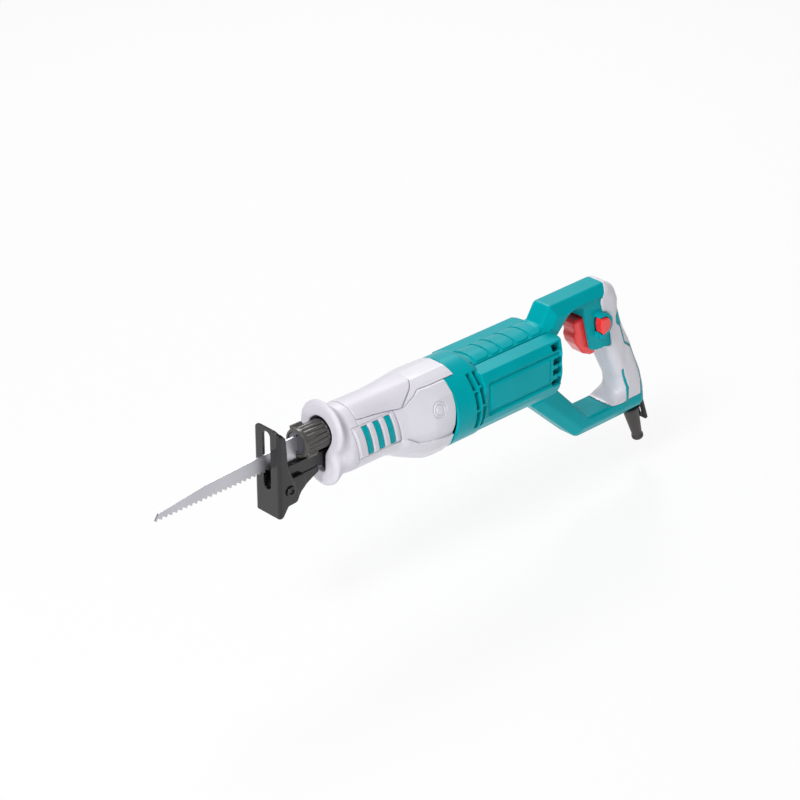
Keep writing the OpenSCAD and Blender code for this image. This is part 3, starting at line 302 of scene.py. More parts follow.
def net_quads(values, corner, cell_id, encode):
    """A quad round each grid edge that the surface crosses, turned to face outward."""
    order = np.argsort(cell_id)
    sorted_id = cell_id[order]
    quads = []
    for axis in range(3):
        start = values[:, :BLOCK, :BLOCK, :BLOCK]
        shift = [slice(None)] + [slice(1, BLOCK + 1) if n == axis else slice(0, BLOCK) for n in range(3)]
        end = values[tuple(shift)]
        block, i, j, k = np.nonzero((start < 0) != (end < 0))
        outward = start[block, i, j, k] < 0
        here = corner[block] + np.stack([i, j, k], -1)
        b, c = (axis + 1) % 3, (axis + 2) % 3
        ring = []
        for db, dc in ((0, 0), (-1, 0), (-1, -1), (0, -1)):
            cell = here.copy()
            cell[:, b] += db
            cell[:, c] += dc
            wanted = encode(cell)
            place = np.minimum(np.searchsorted(sorted_id, wanted), len(sorted_id) - 1)
            ring.append(np.where(sorted_id[place] == wanted, order[place], -1))
        ring = np.stack(ring, -1)
        whole = (ring >= 0).all(1)
        ring, outward = ring[whole], outward[whole]
        quads.append(np.where(outward[:, None], ring, ring[:, ::-1]))
    return np.concatenate(quads)


def gradient(field, p, step=0.05):
    """Slope of a field at each of the points p, from differences over the given step each way."""
    slopes = []
    for axis in range(3):
        hi, lo = p.copy(), p.copy()
        hi[:, axis] += step
        lo[:, axis] -= step
        slopes.append(field(*hi.T) - field(*lo.T))
    return np.stack(slopes, -1) / (2 * step)


FLATTEST = 0.05


def settle(field, p, reach, rounds):
    """Moves points onto the surface, none further in a round than reach."""
    for _ in range(rounds):
        slope = gradient(field, p)
        size = (slope ** 2).sum(1)
        step = field(*p.T)[:, None] * slope / np.maximum(size, FLATTEST)[:, None]
        length = np.linalg.norm(step, axis=1, keepdims=True)
        p = p - step * np.minimum(1, reach / np.maximum(length, 1e-9))
    return p


GRID_MARGIN = 1.5
FIRST_REACH = 0.6
LAST_REACH = 0.3
NORMAL_STEP = 0.12


def surface_net(field, lo, hi, pitch):
    """Points and quads of the field's surface inside the box from lo to hi."""
    lo = np.array(lo, float) - GRID_MARGIN * pitch
    counts = np.ceil((np.array(hi, float) + GRID_MARGIN * pitch - lo) / pitch / BLOCK).astype(int)
    step = np.arange(BLOCK + 1)
    grid = np.stack(np.meshgrid(step, step, step, indexing="ij"), -1)
    corner = active_blocks(field, lo, counts, pitch) * BLOCK
    values = []
    for part in np.array_split(corner, max(1, len(corner) // BATCH)):
        p = lo + (part[:, None, None, None, :] + grid[None]) * pitch
        values.append(field(p[..., 0], p[..., 1], p[..., 2]))
    values = np.concatenate(values)
    points, cell = net_vertices(values, corner, lo, pitch)
    span = counts * BLOCK + 2

    def encode(c):
        """One number for each cell of the grid."""
        return ((c[:, 0] + 1) * span[1] + c[:, 1] + 1) * span[2] + c[:, 2] + 1

    return points, net_quads(values, corner, encode(cell), encode)


def field_mesh(name, field, lo, hi, pitch, keep=0.4, shade=None):
    """A Blender object of the field's surface inside the box from lo to hi, shaded as the field or as shade."""
    pitch = pitch * 1
    points, quads = surface_net(field, lo, hi, pitch)
    points = settle(field, points, FIRST_REACH * pitch, 2)
    mesh = bpy.data.meshes.new(name)
    mesh.from_pydata((points * MM).tolist(), [], quads.tolist())
    mesh.validate()
    piece = bpy.data.objects.new(name, mesh)
    bpy.context.scene.collection.objects.link(piece)
    thin(piece, keep)
    place = np.zeros(len(piece.data.vertices) * 3)
    piece.data.vertices.foreach_get("co", place)
    place = settle(field, place.reshape(-1, 3) / MM, LAST_REACH * pitch, 1)
    piece.data.vertices.foreach_set("co", (place * MM).ravel())
    slope = gradient(shade or field, place, NORMAL_STEP)
    slope /= np.maximum(np.linalg.norm(slope, axis=1, keepdims=True), 1e-6)
    piece.data.polygons.foreach_set("use_smooth", [True] * len(piece.data.polygons))
    piece.data.normals_split_custom_set_from_vertices(slope.tolist())
    return piece


def thin(piece, keep):
    """Thins a mesh to the given share of its faces, most where it is flat."""
    modifier = piece.modifiers.new("thin", "DECIMATE")
    modifier.ratio = keep
    modifier.use_collapse_triangulate = True
    depsgraph = bpy.context.evaluated_depsgraph_get()
    mesh = bpy.data.meshes.new_from_object(piece.evaluated_get(depsgraph))
    piece.modifiers.clear()
    old = piece.data
    piece.data = mesh
    mesh.name = piece.name
    bpy.data.meshes.remove(old)


# ---------- forms that several pieces share ----------
GEAR = chart([
    (-6, 15.4, 0), (7, 15.2, 8), (13, 13.2, 8), (18.2, 10.8, 1.2), (26, 3.6, 0.7), (29.6, -5, 12),
    (30.2, -12, 20), (29.7, -19.8, 0.7), (26.6, -28.3, 1), (23.6, -36, 6), (15, -45, 6), (6, -48, 6),
    (-6, -48.4, 0),
])
GEAR_SHARE = profile([(72, 0), (84, 0.25), (96, 0.66), (106, 0.95), (112, 1), (140, 1)], 4)
SKIRT_OUT = 1.7
SKIRT_FROM = 78
SKIRT_FULL = 86
SKIRT_XS = [60, 78.7, 84, 93.5, 103, 127, 140]
SKIRT_ZS = [-18, -19.3, -20, -25.8, -27.4, -28.2, -28.2]


def nose_form(y, z):
    """The oval section of the nose, the same all along it."""
    return oval(y, z - NOSE_Z, NOSE_A, NOSE_B)


def cover_form(x, y, z):
    """Nose and gear cover: an oval nose that widens to a faceted gear case."""
    share = GEAR_SHARE(x)
    return nose_form(y, z) * (1 - share) + GEAR(np.abs(y), z) * share


def skirt_form(x, y, z):
    """The proud lower rim of the gear cover under its ledge."""
    d = cover_form(x, y, z) - SKIRT_OUT * ease(x, SKIRT_FROM, SKIRT_FULL)
    return meet(d, z - np.interp(x, SKIRT_XS, SKIRT_ZS), 0.4)


def motor_radius(y, z):
    """Distance from the motor's axis."""
    return np.hypot(y, z - MOTOR_Z)


BAND_X0 = COVER_END + 17.5
BAND_X1 = COVER_END + 23.5
BAND_TAPER = 0.55
BODY_X0 = COVER_END + 19.5
BODY_X1 = BARREL_END + 3
BODY = chart([
    (-6, 5, 0), (12, 7.4, 0), (24.6, 6.2, 0.8), (28.3, -0.6, 3), (29.2, -4, 3), (29.2, -27, 2),
    (26.6, -33, 2), (20, -41.2, 4), (8, -46.5, 4), (-6, -47, 0),
])
BODY_MID_Y = 24
BODY_MID_Z = -14
STRIP_STEPS = [COVER_END + step for step in (28, 44, 55, 70, 85, 98.5)]
STRIP_HALF_WIDTH = 10.8
STRIP_OUT = 0.25


def grip_strip(x, y, z):
    """Shingled pads along the barrel's top, each rounded at its back end."""
    d = np.full(np.broadcast(x, y, z).shape, FAR)
    for front, back in zip(STRIP_STEPS[:-1], STRIP_STEPS[1:]):
        pad = meet(meet(x - back + 0.8, np.abs(y) - STRIP_HALF_WIDTH, 4.0), front + 0.8 - x, 0.4)
        pad = meet(pad, motor_radius(y, z) - BARREL_R - STRIP_OUT, 0.35)
        d = join(d, meet(pad, 4 - z))
    return d


def barrel_form(x, y, z):
    """Motor housing: the ring behind the cover, the barrel and the boxy body on its flanks."""
    reach = np.hypot(y, z - RING_Z) - RING_R
    slope = (reach + (x - BAND_X0) * BAND_TAPER) / 1.14
    ring = meet(meet(meet(reach, slope, 0.5), x - BAND_X1, 0.5), SIDE_JOINT_X + 0.3 - x, 0.5)
    ring = cut(ring, meet(x - COVER_END - 0.3, SIDE_JOINT_Z - 0.3 - z), 0.4)
    barrel = meet(motor_radius(y, z) - BARREL_R + 0.7, slab(x, COVER_END + 4, BARREL_END), 0.4)
    barrel = join(barrel, grip_strip(x, y, z))
    body = meet(BODY(np.abs(y), z), slab(x, BODY_X0, BODY_X1), 1.0)
    raked = x - BODY_X1 + 1.6 + (np.abs(y) - BODY_MID_Y) * 0.5 + (BODY_MID_Z - z) * 0.02
    body = meet(body, raked * 0.85, 1.2)
    return join(join(ring, barrel, 0.5), body, 0.25)


HANDLE = chart([
    (-12, -38, 0), (-9, -53, 6), (40, -97, 11), (112, -97, 5), (117.6, -92, 4), (116, -78, 30),
    (111, -62, 40), (103, -46, 60), (97, -32, 60), (90, -20, 60), (84.6, -10, 30), (80.6, 1, 20),
    (80.2, 9, 8), (75.5, 19.5, 9), (67, 24.6, 6), (6, 24, 4), (-4, 8, 0), (-12, 0, 0),
])
HAND = chart([
    (-1, -38, 0), (9, -41, 3), (49, -81.5, 5), (77, -81.5, 8), (86, -73, 6), (84.6, -64, 16),
    (75.8, -48, 30), (66.6, -29.6, 1.5), (51, -26, 2), (40, 13, 5), (27, 15.5, 4), (14, 2, 4), (4, -1.5, 2),
    (-1, -6, 0),
])
SKIN_ZONE = chart([
    (66, 40, 0), (64.5, 25, 6), (62, 19, 6), (58, 14.6, 2), (58, 10, 2), (61, 1, 2), (70, -18.5, 3),
    (72, -28.6, 1), (40, -26.4, 0), (40, -60, 0), (70, -81.5, 2), (85, -83.2, 2), (130, -82.8, 0),
    (130, 40, 0),
])
WEDGE = chart([
    (78, 1, 0.6), (82, -7.6, 0.6), (80.4, -15.4, 0.6), (75.6, -11, 0.6), (74.6, -5.5, 0.6),
])
RIM_LINE = [(80, -14), (83.3, -23.2), (86.6, -31.1), (95.5, -37.6), (98.2, -42.8), (102.1, -51), (106.3, -61.9),
            (109.3, -72.5), (110, -84)]
RIM_HALF = [0.5, 0.55, 0.6, 0.6, 0.45, 0.5, 0.7, 1.2]
FINE_LINE = [(86.4, -54.7), (89.8, -63.6), (93.2, -72.6), (93.1, -84)]
FINE_HALF = [0.7, 0.8, 1.3]
BEVEL_FACE = 5.4
BEVEL_EDGE = 8
BEVEL_LEN = 9.65
HELD_ROUND = 9.5
REAR_ROUND = 9.0


def handle_form(x, y, z):
    """The D handle: bevelled outside, rounded where the hand closes round it."""
    u = x - BARREL_END
    outer = HANDLE(u, z)
    hole = -HAND(u, z)
    face = np.abs(y) - HANDLE_A
    held = ease(u, 56, 68) * ease(-z, 24, 32) * ease(z, -83, -74)
    rear = ease(u - 66 + 0.25 * z, 0, 12)
    crisp = meet(outer, face, 0.8)
    bevel = (outer * BEVEL_FACE + face * BEVEL_EDGE + BEVEL_FACE * BEVEL_EDGE) / BEVEL_LEN
    crisp = meet(crisp, bevel, 0.9)
    round_back = meet(outer, face + ease(u, 80, 90), REAR_ROUND)
    outside = crisp + (round_back - crisp) * rear
    d = meet(outside, hole, 2.0)
    soft = meet(outside, hole, HELD_ROUND)
    return d + (soft - d) * held


def drawn_line(u, v, points, halves):
    """Distance to a drawn line of straight runs, each with its own half width."""
    best = np.full(np.broadcast(u, v).shape, FAR)
    for p, q, half in zip(points[:-1], points[1:], halves):
        du, dv = q[0] - p[0], q[1] - p[1]
        t = np.clip(((u - p[0]) * du + (v - p[1]) * dv) / (du * du + dv * dv), 0, 1)
        best = np.minimum(best, np.hypot(u - p[0] - t * du, v - p[1] - t * dv) - half)
    return best


def skin_zone(x, z):
    """Where the white skin lies; the housing shows through it as a wedge and fine lines."""
    u = x - BARREL_END
    lines = np.minimum(drawn_line(u, z, RIM_LINE, RIM_HALF), drawn_line(u, z, FINE_LINE, FINE_HALF))
    return np.maximum(SKIN_ZONE(u, z), -np.minimum(lines, WEDGE(u, z)))


VENT_ROUND = 0.9
VENT_SPANS = [(16, 29.5), (1.2, 14.4), (-15, -0.4)]
NARROW_SPANS = [(18, 29.5), (3.6, 16.2), (-15, 2.0)]
REAR_SPANS = [(17.4, 22), (7.6, 12.6), (-0.4, 4.6), (-9.4, -4)]


def arc_slots(arc, x, mid_x, half, spans, r):
    """Rounded slots side by side round the housing, each from one arc length to the next."""
    d = np.full(np.shape(x), FAR)
    for lo, hi in spans:
        d = join(d, box2(x - mid_x, arc - (lo + hi) / 2, half, (hi - lo) / 2, r))
    return d


def vents(x, y, z):
    """Air slots behind the gear cover and round the barrel's rear corners."""
    side = np.abs(y)
    reach = motor_radius(y, z)
    arc = np.arctan2(z - RING_Z, side) * RING_R
    front = arc_slots(arc, x, COVER_END + 10.8, 2.1, VENT_SPANS, VENT_ROUND)
    back = arc_slots(arc, x, COVER_END + 17.1, 2.2, NARROW_SPANS, VENT_ROUND)
    fore = meet(join(front, back), 22 - reach)
    arc = np.arctan2(z - MOTOR_Z, side) * BARREL_R
    through = meet(arc_slots(arc, x, BODY_X1 - 8.6, 4.6, REAR_SPANS, 1.0), 23 - reach)
    return join(fore, through)


LABEL_X = BODY_X0 + 42
LABEL_Z = -13.9
LABEL_HALF_X = 36
LABEL_HALF_Z = 11.2
LABEL_SUNK = 0.45
NOTCH_HALF = 2.5
NOTCH_SLOPE = 1.2
NOTCH_STEEP = 1.56
FLANK_Y = 26
SEAM_Y = 12.3
LINE_HALF = 0.6


def label_line(x, z):
    """Outline of the bare label field on the body's flank."""
    return box2(x - LABEL_X, z - LABEL_Z, LABEL_HALF_X, LABEL_HALF_Z, 0.8)


def grooves(x, y, z, form):
    """Moulded lines of the body: beside the top strip, round the label field and at its rear."""
    side = np.abs(y)
    off_flank = FLANK_Y - side
    seam = meet(np.abs(side - SEAM_Y) - LINE_HALF, slab(x, BODY_X0 + 0.6, BODY_X1 - 2))
    seam = meet(meet(seam, 3 - z), -(z - 6.2))
    notch = (np.abs(label_line(x, z)) - NOTCH_HALF - form * NOTCH_SLOPE) / NOTCH_STEEP
    notch = meet(meet(notch, side - 40), off_flank)
    inner = meet(meet(label_line(x, z) + 0.2, -(form + LABEL_SUNK)), off_flank)
    rear_line = meet(np.abs(x - BODY_X0 - 68) - LINE_HALF, slab(z, -23, -4.5))
    rear_line = meet(meet(rear_line, -(form + 1.2)), off_flank)
    return join(join(join(notch, inner), rear_line), meet(seam, -(form + 1.0)))


def hollow_form(x, y, z):
    """Room for the motor inside the housing."""
    ring = meet(np.hypot(y, z - RING_Z) - (RING_R - WALL), slab(x, SIDE_JOINT_X - 2, COVER_END + 12))
    barrel = meet(motor_radius(y, z) - BARREL_R + WALL, slab(x, COVER_END + 8, BARREL_END - 3))
    return join(ring, barrel)


RECESS = chart([
    (8, -4, 0), (14.5, 8.6, 1), (23, 14.2, 2), (33.7, 16.6, 3), (44.6, 16.6, 3), (57, 16.1, 1), (61, 13, 0),
    (63, 1, 0), (74, -18, 0), (76, -28.7, 0), (48, -27.5, 0), (36, -6, 0), (20, -6, 0),
])
RECESS_DEPTH = 1.95


def trigger_recess(x, y, z):
    """Sunk face under the top arm's edge, round the trigger and in front of the grip's skin."""
    return meet(RECESS(x - BARREL_END, z), HANDLE_A - RECESS_DEPTH - np.abs(y), 0.4)


def housing_form(x, y, z):
    """Both halves of the teal housing as one body, before it is split."""
    core = handle_form(x, y, z)
    zone = skin_zone(x, z)
    sunk = meet(core + SKIN + 0.15, zone - 0.3)
    core = join(meet(cut(core, trigger_recess(x, y, z), 0.2), -zone, 0.3), sunk)
    form = barrel_form(x, y, z)
    body = cut(form, grooves(x, y, z, form), 0.15)
    body = join(body, core, 3.0)
    body = cut(body, vents(x, y, z), 0.5)
    return cut(body, hollow_form(x, y, z), 0.3)


TRIGGER_A = 6.95
TRIGGER_GAP = 0.4
TRIGGER_SLOT = chart([
    (30, 3.2, 0.5), (67, 3.2, 0.5), (67, -33.6, 0.5), (38, -33.6, 0.5), (30, -20, 0.5),
])


def trigger_slot(x, y, z):
    """Opening in the handle for the trigger and the switch behind it."""
    return meet(TRIGGER_SLOT(x - BARREL_END, z), np.abs(y) - TRIGGER_A - TRIGGER_GAP, 0.3)


LOCK_RING = chart([
    (-4.4, 9.4, 0.8), (-1, 10.2, 3), (5.6, 8.6, 3), (10, 3.4, 3), (10.6, -3, 3), (7.4, -7.8, 3),
    (1.2, -11.4, 1.5), (-2.4, -10.4, 0.8), (-4.3, 0, 2),
])
LOCK_CAP = chart([
    (-4.45, 6.8, 0.8), (3.4, 6.0, 2), (6.4, 2.4, 2), (6.9, -1.6, 2), (4.4, -4.8, 2), (-0.8, -7.0, 0.8),
    (-3.4, -4.4, 1), (-4.45, 1, 2),
])
LOCK_DIP = chart([
    (-12.4, -4, 1), (-8.8, 7.6, 2), (-4.9, 8, 0.3), (-4.7, 1, 0.3), (-3.2, -9.8, 0.3), (-7, -13, 1),
    (-12, -12, 2),
])


def lock_guard(x, y, z):
    """Raised guard round the lock button on the left half."""
    ring = LOCK_RING(x - LOCK_X, z - LOCK_Z)
    return meet(ring, np.abs(y + HANDLE_A - 0.6) - 3.8, 1.0)


LOCK_GAP = 0.4


def lock_pocket(x, y, z):
    """Way of the lock button, and the dip for a thumb in front of it."""
    u, v = x - LOCK_X, z - LOCK_Z
    dip = meet(LOCK_DIP(u, v), y + HANDLE_A - RECESS_DEPTH + 1.6)
    return join(meet(LOCK_CAP(u, v) - LOCK_GAP, y + 8.0), dip)


SCREWS = [(14, 8), (52, 9.5), (35, -76), (81, -88.5), (3, -49)]
WELL_R = 3.5
WELL_FLOOR = 11.0


def screw_wells(x, y, z):
    """Sunk seats of the screws that join the halves, on the right side only."""
    d = np.full(np.shape(x), FAR)
    for spot_u, spot_z in SCREWS:
        d = join(d, np.hypot(x - (BARREL_END + spot_u), z - spot_z) - WELL_R)
    return meet(d, WELL_FLOOR - y)


def guard_axes(x, z):
    """Distance along the cord guard's axis from the handle outward, and across it toward the front."""
    u, v = x - GUARD_X, z - GUARD_Z
    c, s = math.cos(GUARD_ANGLE), math.sin(GUARD_ANGLE)
    return u * s - v * c, -(u * c + v * s)


def guard_space(x, y, z):
    """Seat of the cord guard and the key holder in the handle's lower corner."""
    along, across = guard_axes(x, z)
    reach = np.hypot(across, y)
    neck = meet(reach - 5.5, slab(along, -13, 6))
    ring = meet(reach - 10.9, slab(along, 3.4, 14))
    return join(neck, ring)


def left_form(x, y, z):
    """The left half, as if it went on past the joint at Y = 0."""
    d = join(housing_form(x, y, z), lock_guard(x, y, z), 0.8)
    d = cut(d, lock_pocket(x, y, z), 0.4)
    d = cut(d, trigger_slot(x, y, z), 0.5)
    return cut(d, guard_space(x, y, z))


def right_form(x, y, z):
    """The right half, as if it went on past the joint at Y = 0."""
    d = cut(housing_form(x, y, z), trigger_slot(x, y, z), 0.5)
    d = cut(d, guard_space(x, y, z))
    return cut(d, screw_wells(x, y, z), 0.3)


def housing_left(x, y, z):
    """Teal half with the lock button."""
    return meet(left_form(x, y, z), y)


def housing_right(x, y, z):
    """Teal half with the screws."""
    return meet(right_form(x, y, z), -y)


def grip_skin(x, y, z, side):
    """White skin over the handle's rear and grip, as if it went on past the joint at Y = 0."""
    form = handle_form(x, y, z)
    shell = meet(form, -(form + SKIN))
    d = meet(shell, skin_zone(x, z) + 0.15, 0.5)
    d = cut(d, trigger_slot(x, y, z), 0.4)
    d = cut(d, guard_space(x, y, z))
    if side < 0:
        d = cut(d, lock_guard(x, y, z) - 0.2, 0.3)
    else:
        d = cut(d, screw_wells(x, y, z), 0.3)
    return d


def rear_grip(x, y, z, side):
    """One half of the white skin."""
    return meet(grip_skin(x, y, z, side), side * -y)


# ---------- white nose ----------
LIP_R = 19.6
LIP_Z = 3.2
CHIN_Z = -24.6
CHIN_A = 15.4
CHIN_B = 15.0
MOUTH_R = 11.7
MOUTH_Z = 0.8
BAR_WAY_A = 4.8
BAR_WAY_Z = -17
BOOT_WALL = 3.0


def mouth_opening(y, z):
    """Keyhole through the lip, round for the collar and slotted for the foot bar."""
    slot = box2(y, z - BAR_WAY_Z, BAR_WAY_A, 12, 3)
    return join(np.hypot(y, z - MOUTH_Z) - MOUTH_R, slot, 7)


def nose_boot(x, y, z):
    """Soft white mouth: a keyhole-shaped lip that flows back into the oval nose."""
    lip = join(np.hypot(y, z - LIP_Z) - LIP_R, oval(y, z - CHIN_Z, CHIN_A, CHIN_B, 2.1), 6.5)
    body = nose_form(y, z)
    flare = ease(MOUTH_X + 14 - x, 0, 13)
    bead = 1.2 * np.exp(-((x - MOUTH_X - 3) / 3.0) ** 2)
    waist = 0.9 * np.exp(-((x - MOUTH_X - 10.5) / 3.6) ** 2)
    outer = (body * (1 - flare) + lip * flare - bead + waist) * 0.8
    d = meet(outer, MOUTH_X - x, 2.6)
    d = meet(d, x - BOOT_BACK + 0.15, 0.6)
    d = cut(d, meet(mouth_opening(y, z), x - MOUTH_X - 9), 1.2)
    d = cut(d, meet(outer + BOOT_WALL, MOUTH_X + 5.5 - x, 1.0), 0.4)
    return cut(d, grip_seat(x, y, z), 0.4)


GRIP_LEAN = 0.24


def lean(x, z):
    """Lengthwise place on the slanted grip panel."""
    return x + GRIP_LEAN * (z + 8)


def grip_outline(x, z):
    """Edge of the grip panel, seen from the side."""
    mid_x, mid_z = (GRIP_LO[0] + GRIP_HI[0]) / 2 + 0.8, (GRIP_LO[2] + GRIP_HI[2]) / 2
    half_x, half_z = (GRIP_HI[0] - GRIP_LO[0]) / 2 - 2.4, (GRIP_HI[2] - GRIP_LO[2]) / 2
    return box2(lean(x, z) - mid_x, z - mid_z - 0.6, half_x, half_z - 0.4, 1.2)


GRIP_SEAT_DEPTH = 1.1
GRIP_GAP = 0.15


def grip_seat(x, y, z):
    """Shallow pocket that the grip panel lies in."""
    return meet(grip_outline(x, z) - GRIP_GAP, -(nose_form(y, z) + GRIP_SEAT_DEPTH))


INLAYS = 3
INLAY_PITCH = 10.5
INLAY_HALF = 2.2
INLAY_X = GRIP_LO[0] + 13.9
RIB_OUT = 1.05
FLANK_IN = 5


def inlay_line(x, z, k):
    """Distance to the slanted band of inlay k."""
    return np.abs(lean(x, z) - INLAY_X - k * INLAY_PITCH) - INLAY_HALF


def inlay_gaps(x, z):
    """Distance to the nearest of the inlays' bands."""
    return np.minimum.reduce([inlay_line(x, z, k) for k in range(INLAYS)])


def side_grip(x, y, z, side):
    """Ribbed soft grip in the nose's flank, with grooves for the inlays."""
    nose = nose_form(y, z)
    edge = grip_outline(x, z)
    gaps = inlay_gaps(x, z)
    d = meet(nose - 0.1, edge, 0.35)
    ribs = meet(nose - RIB_OUT, meet(edge + 1.0, -gaps + 0.7, 1.2), 0.8)
    d = join(d, ribs, 0.3)
    trench = meet(edge + 1.0, gaps - 0.55)
    d = cut(d, meet(trench, -(nose + 0.7)), 0.1)
    return meet(meet(d, -(nose + 1.0)), -side * y + FLANK_IN)


def inlay(x, y, z, side, k):
    """Teal band k in the side grip's groove."""
    nose = nose_form(y, z)
    d = meet(grip_outline(x, z) + 1.4, inlay_line(x, z, k), 0.4)
    d = meet(d, nose - 0.45, 0.5)
    return meet(meet(d, -(nose + 0.65)), -side * y + FLANK_IN)


SEAM = chart([
    (0, 12.6, 0), (42, 8.5, 10), (58.3, 6.8, 10), (79, 4.2, 4), (84, 4.4, 3), (99.5, 11, 3), (140, 11, 0),
    (140, 60, 0), (0, 60, 0),
])
PANEL = chart([
    (20, -8, 0), (100.5, -8, 0), (100.5, 6, 5), (97.6, 10, 5), (94, 13.4, 5), (88, 16.4, 6), (80, 19.5, 3),
    (74, 26, 0), (20, 26, 0),
])


def panel_zone(x, y, z):
    """Outline of the soft panel on top; its lower edge is the seam."""
    return meet(PANEL(x, np.abs(y)), SEAM(x, z), 0.3)


PAD_THICK = 2.0
PAD_DISH = 0.5
COVER_THICK = 2.2


def top_pad(x, y, z):
    """Soft panel on top of the nose, slightly dished for the hand."""
    form = cover_form(x, y, z)
    dish = PAD_DISH * np.exp(-((x - 66) / 16) ** 2)
    d = meet(form - 0.35 + dish, panel_zone(x, y, z) + 0.2, 0.5)
    return meet(meet(d, -(form + PAD_THICK)), BOOT_BACK + 0.1 - x, 0.5)


def upper_cover(x, y, z):
    """White shell above the seam, open where the soft panel lies."""
    form = cover_form(x, y, z)
    shell = meet(form, -(form + COVER_THICK))
    d = meet(shell, SEAM(x, z) + 0.2, 0.4)
    d = cut(d, PANEL(x, np.abs(y)) - 0.1, 0.3)
    return meet(d, slab(x, BOOT_BACK + 0.1, COVER_END - 0.3), 0.4)


def lower_cover(x, y, z):
    """White shell below the seam, with its proud lower rim."""
    form = join(cover_form(x, y, z), skirt_form(x, y, z), 0.2)
    shell = meet(form, -(cover_form(x, y, z) + COVER_THICK))
    d = meet(shell, -SEAM(x, z) + 0.2, 0.4)
    d = cut(d, grip_seat(x, y, z), 0.3)
    d = cut(d, emblem(x, y, z), 0.1)
    d = meet(d, x - SIDE_JOINT_X + 0.3, 0.4)
    return meet(d, BOOT_BACK + 0.1 - x, 0.4)


EMBLEM_X = COVER_END - 24.5
EMBLEM_Z = -4.0
EMBLEM_RINGS = (5.6, 3.6)


def emblem(x, y, z):
    """Plain round mark moulded in the cover's flank: two fine rings, left blank inside."""
    reach = np.hypot(x - EMBLEM_X, z - EMBLEM_Z)
    ring = np.minimum.reduce([np.abs(reach - r) for r in EMBLEM_RINGS]) - 0.45
    return meet(ring, -(cover_form(x, y, z) + 0.5))


# ---------- controls, foot, collar and cord guard ----------
TRIGGER = chart([
    (60, 1.8, 0), (50, 2.2, 3), (38, 1.6, 2), (35.2, -0.5, 1.5), (36, -5, 4), (37.6, -9, 4), (36.6, -13, 4),
    (39, -19, 8), (43, -24, 8), (47.5, -29.5, 5), (55, -33, 3), (60, -33, 0),
])
BORE_Z = -12
BORE_R = 4.2
BORE_U = 45.8


def trigger(x, y, z):
    """Squeeze trigger with a rounded finger face; its bore leaves room for the spring at full pull."""
    u = x - BARREL_END
    d = meet(TRIGGER(u, z), np.abs(y) - TRIGGER_A, 2.4)
    d = meet(d, u - 60, 0.3)
    return cut(d, meet(np.hypot(y, z - BORE_Z) - BORE_R, BORE_U - u))


LOCK_BORE_R = 3.4
LOCK_FACE = 1.5


def lock_cap(x, y, z):
    """Lock button, bored from behind so that its spring has room when it is pressed."""
    u, v = x - LOCK_X, z - LOCK_Z
    d = meet(LOCK_CAP(u, v), LOCK_OUT + 0.05 - y, 1.1)
    spring_bore = meet(np.hypot(u - 0.5, v) - LOCK_BORE_R, LOCK_OUT + LOCK_FACE - y)
    return meet(cut(d, spring_bore), y + 12)


PLATE_FRONT = low("foot_plate")[0]
PLATE_A = high("foot_plate")[1]
PLATE_T = 2.0
PLATE_LO, PLATE_HI = low("foot_plate")[2], high("foot_plate")[2]
PLATE_SIDE = chart([
    (-20, PLATE_HI, 0), (1.0, PLATE_HI, 2), (6.4, 16, 3), (7.3, 5, 10), (7.8, -7.2, 10), (10, -14.2, 6),
    (13.1, -21, 6), (16.9, -27.4, 5), (17.6, -32.5, 3), (15.9, -36, 3), (7.8, -36.4, 2), (4.9, -40.6, 2),
    (3.1, -43.2, 1), (1.8, PLATE_LO, 1), (-20, PLATE_LO, 0),
])
PIVOT_HOLE = 2.6
TOP_ROUND = 7.6
FOOT_ROUND = 2.6
TALL = 60
SLOT_HALF = 3.6
SLOT_TOP = PLATE_HI - 3.6
SLOT_LOW = -24.6


def pivot_reach(x, z):
    """Distance from the pivot's axis."""
    return np.hypot(x - PIVOT_X, z - PIVOT_Z)


def foot_plate(x, y, z):
    """Shoe bent from sheet: a slotted face and two cheeks that carry the pivot."""
    u = x - PLATE_FRONT
    skin = meet(np.abs(y) - PLATE_A, -u, 2.8)
    inner = meet(np.abs(y) - PLATE_A + PLATE_T, PLATE_T - u, 1.0)
    d = cut(skin, inner)
    d = meet(d, box2(y, z - PLATE_HI + TALL, PLATE_A + 0.2, TALL, TOP_ROUND), 0.6)
    d = meet(d, box2(y, z - PLATE_LO - TALL, PLATE_A + 0.2, TALL, FOOT_ROUND), 0.6)
    d = meet(d, PLATE_SIDE(u, z), 0.6)
    slot = box2(y, z - (SLOT_TOP + SLOT_LOW) / 2, SLOT_HALF, (SLOT_TOP - SLOT_LOW) / 2, SLOT_HALF - 0.05)
    d = cut(d, meet(slot, u - 6), 0.4)
    return cut(d, pivot_reach(x, z) - PIVOT_HOLE)


BAR_END = high("foot_bar")[0]
BAR = chart([
    (-16, -8.4, 0), (-13.6, -8.4, 1.5), (-10.6, -11.6, 1), (80, -11.7, 0), (80, -22.5, 0), (-4, -22.5, 0),
    (-16, -26, 0),
])
BAR_HEAD = chart([
    (-19, -8.6, 1), (-15.4, -8.6, 2), (-10.8, -20, 2), (-10.6, -28, 1), (-19, -30, 1),
])
GUSSET = chart([
    (-16, -20, 0), (2, -20, 4), (4, -30, 3), (-1, -34, 4), (-3.5, -38, 1.5), (-8, -38, 1.5), (-16, -32, 3),
])
BAR_LEDGE = chart([
    (-9, -21.9, 1), (16, -21.2, 1), (17, -25.7, 2), (11, -28.3, 5), (3, -32.7, 4), (-4, -36, 1),
    (-9, -30, 1),
])
HEAD_A = 10.4
GUSSET_A = 6.9
SPINE_A = 3.95
LEDGE_A = 4.7


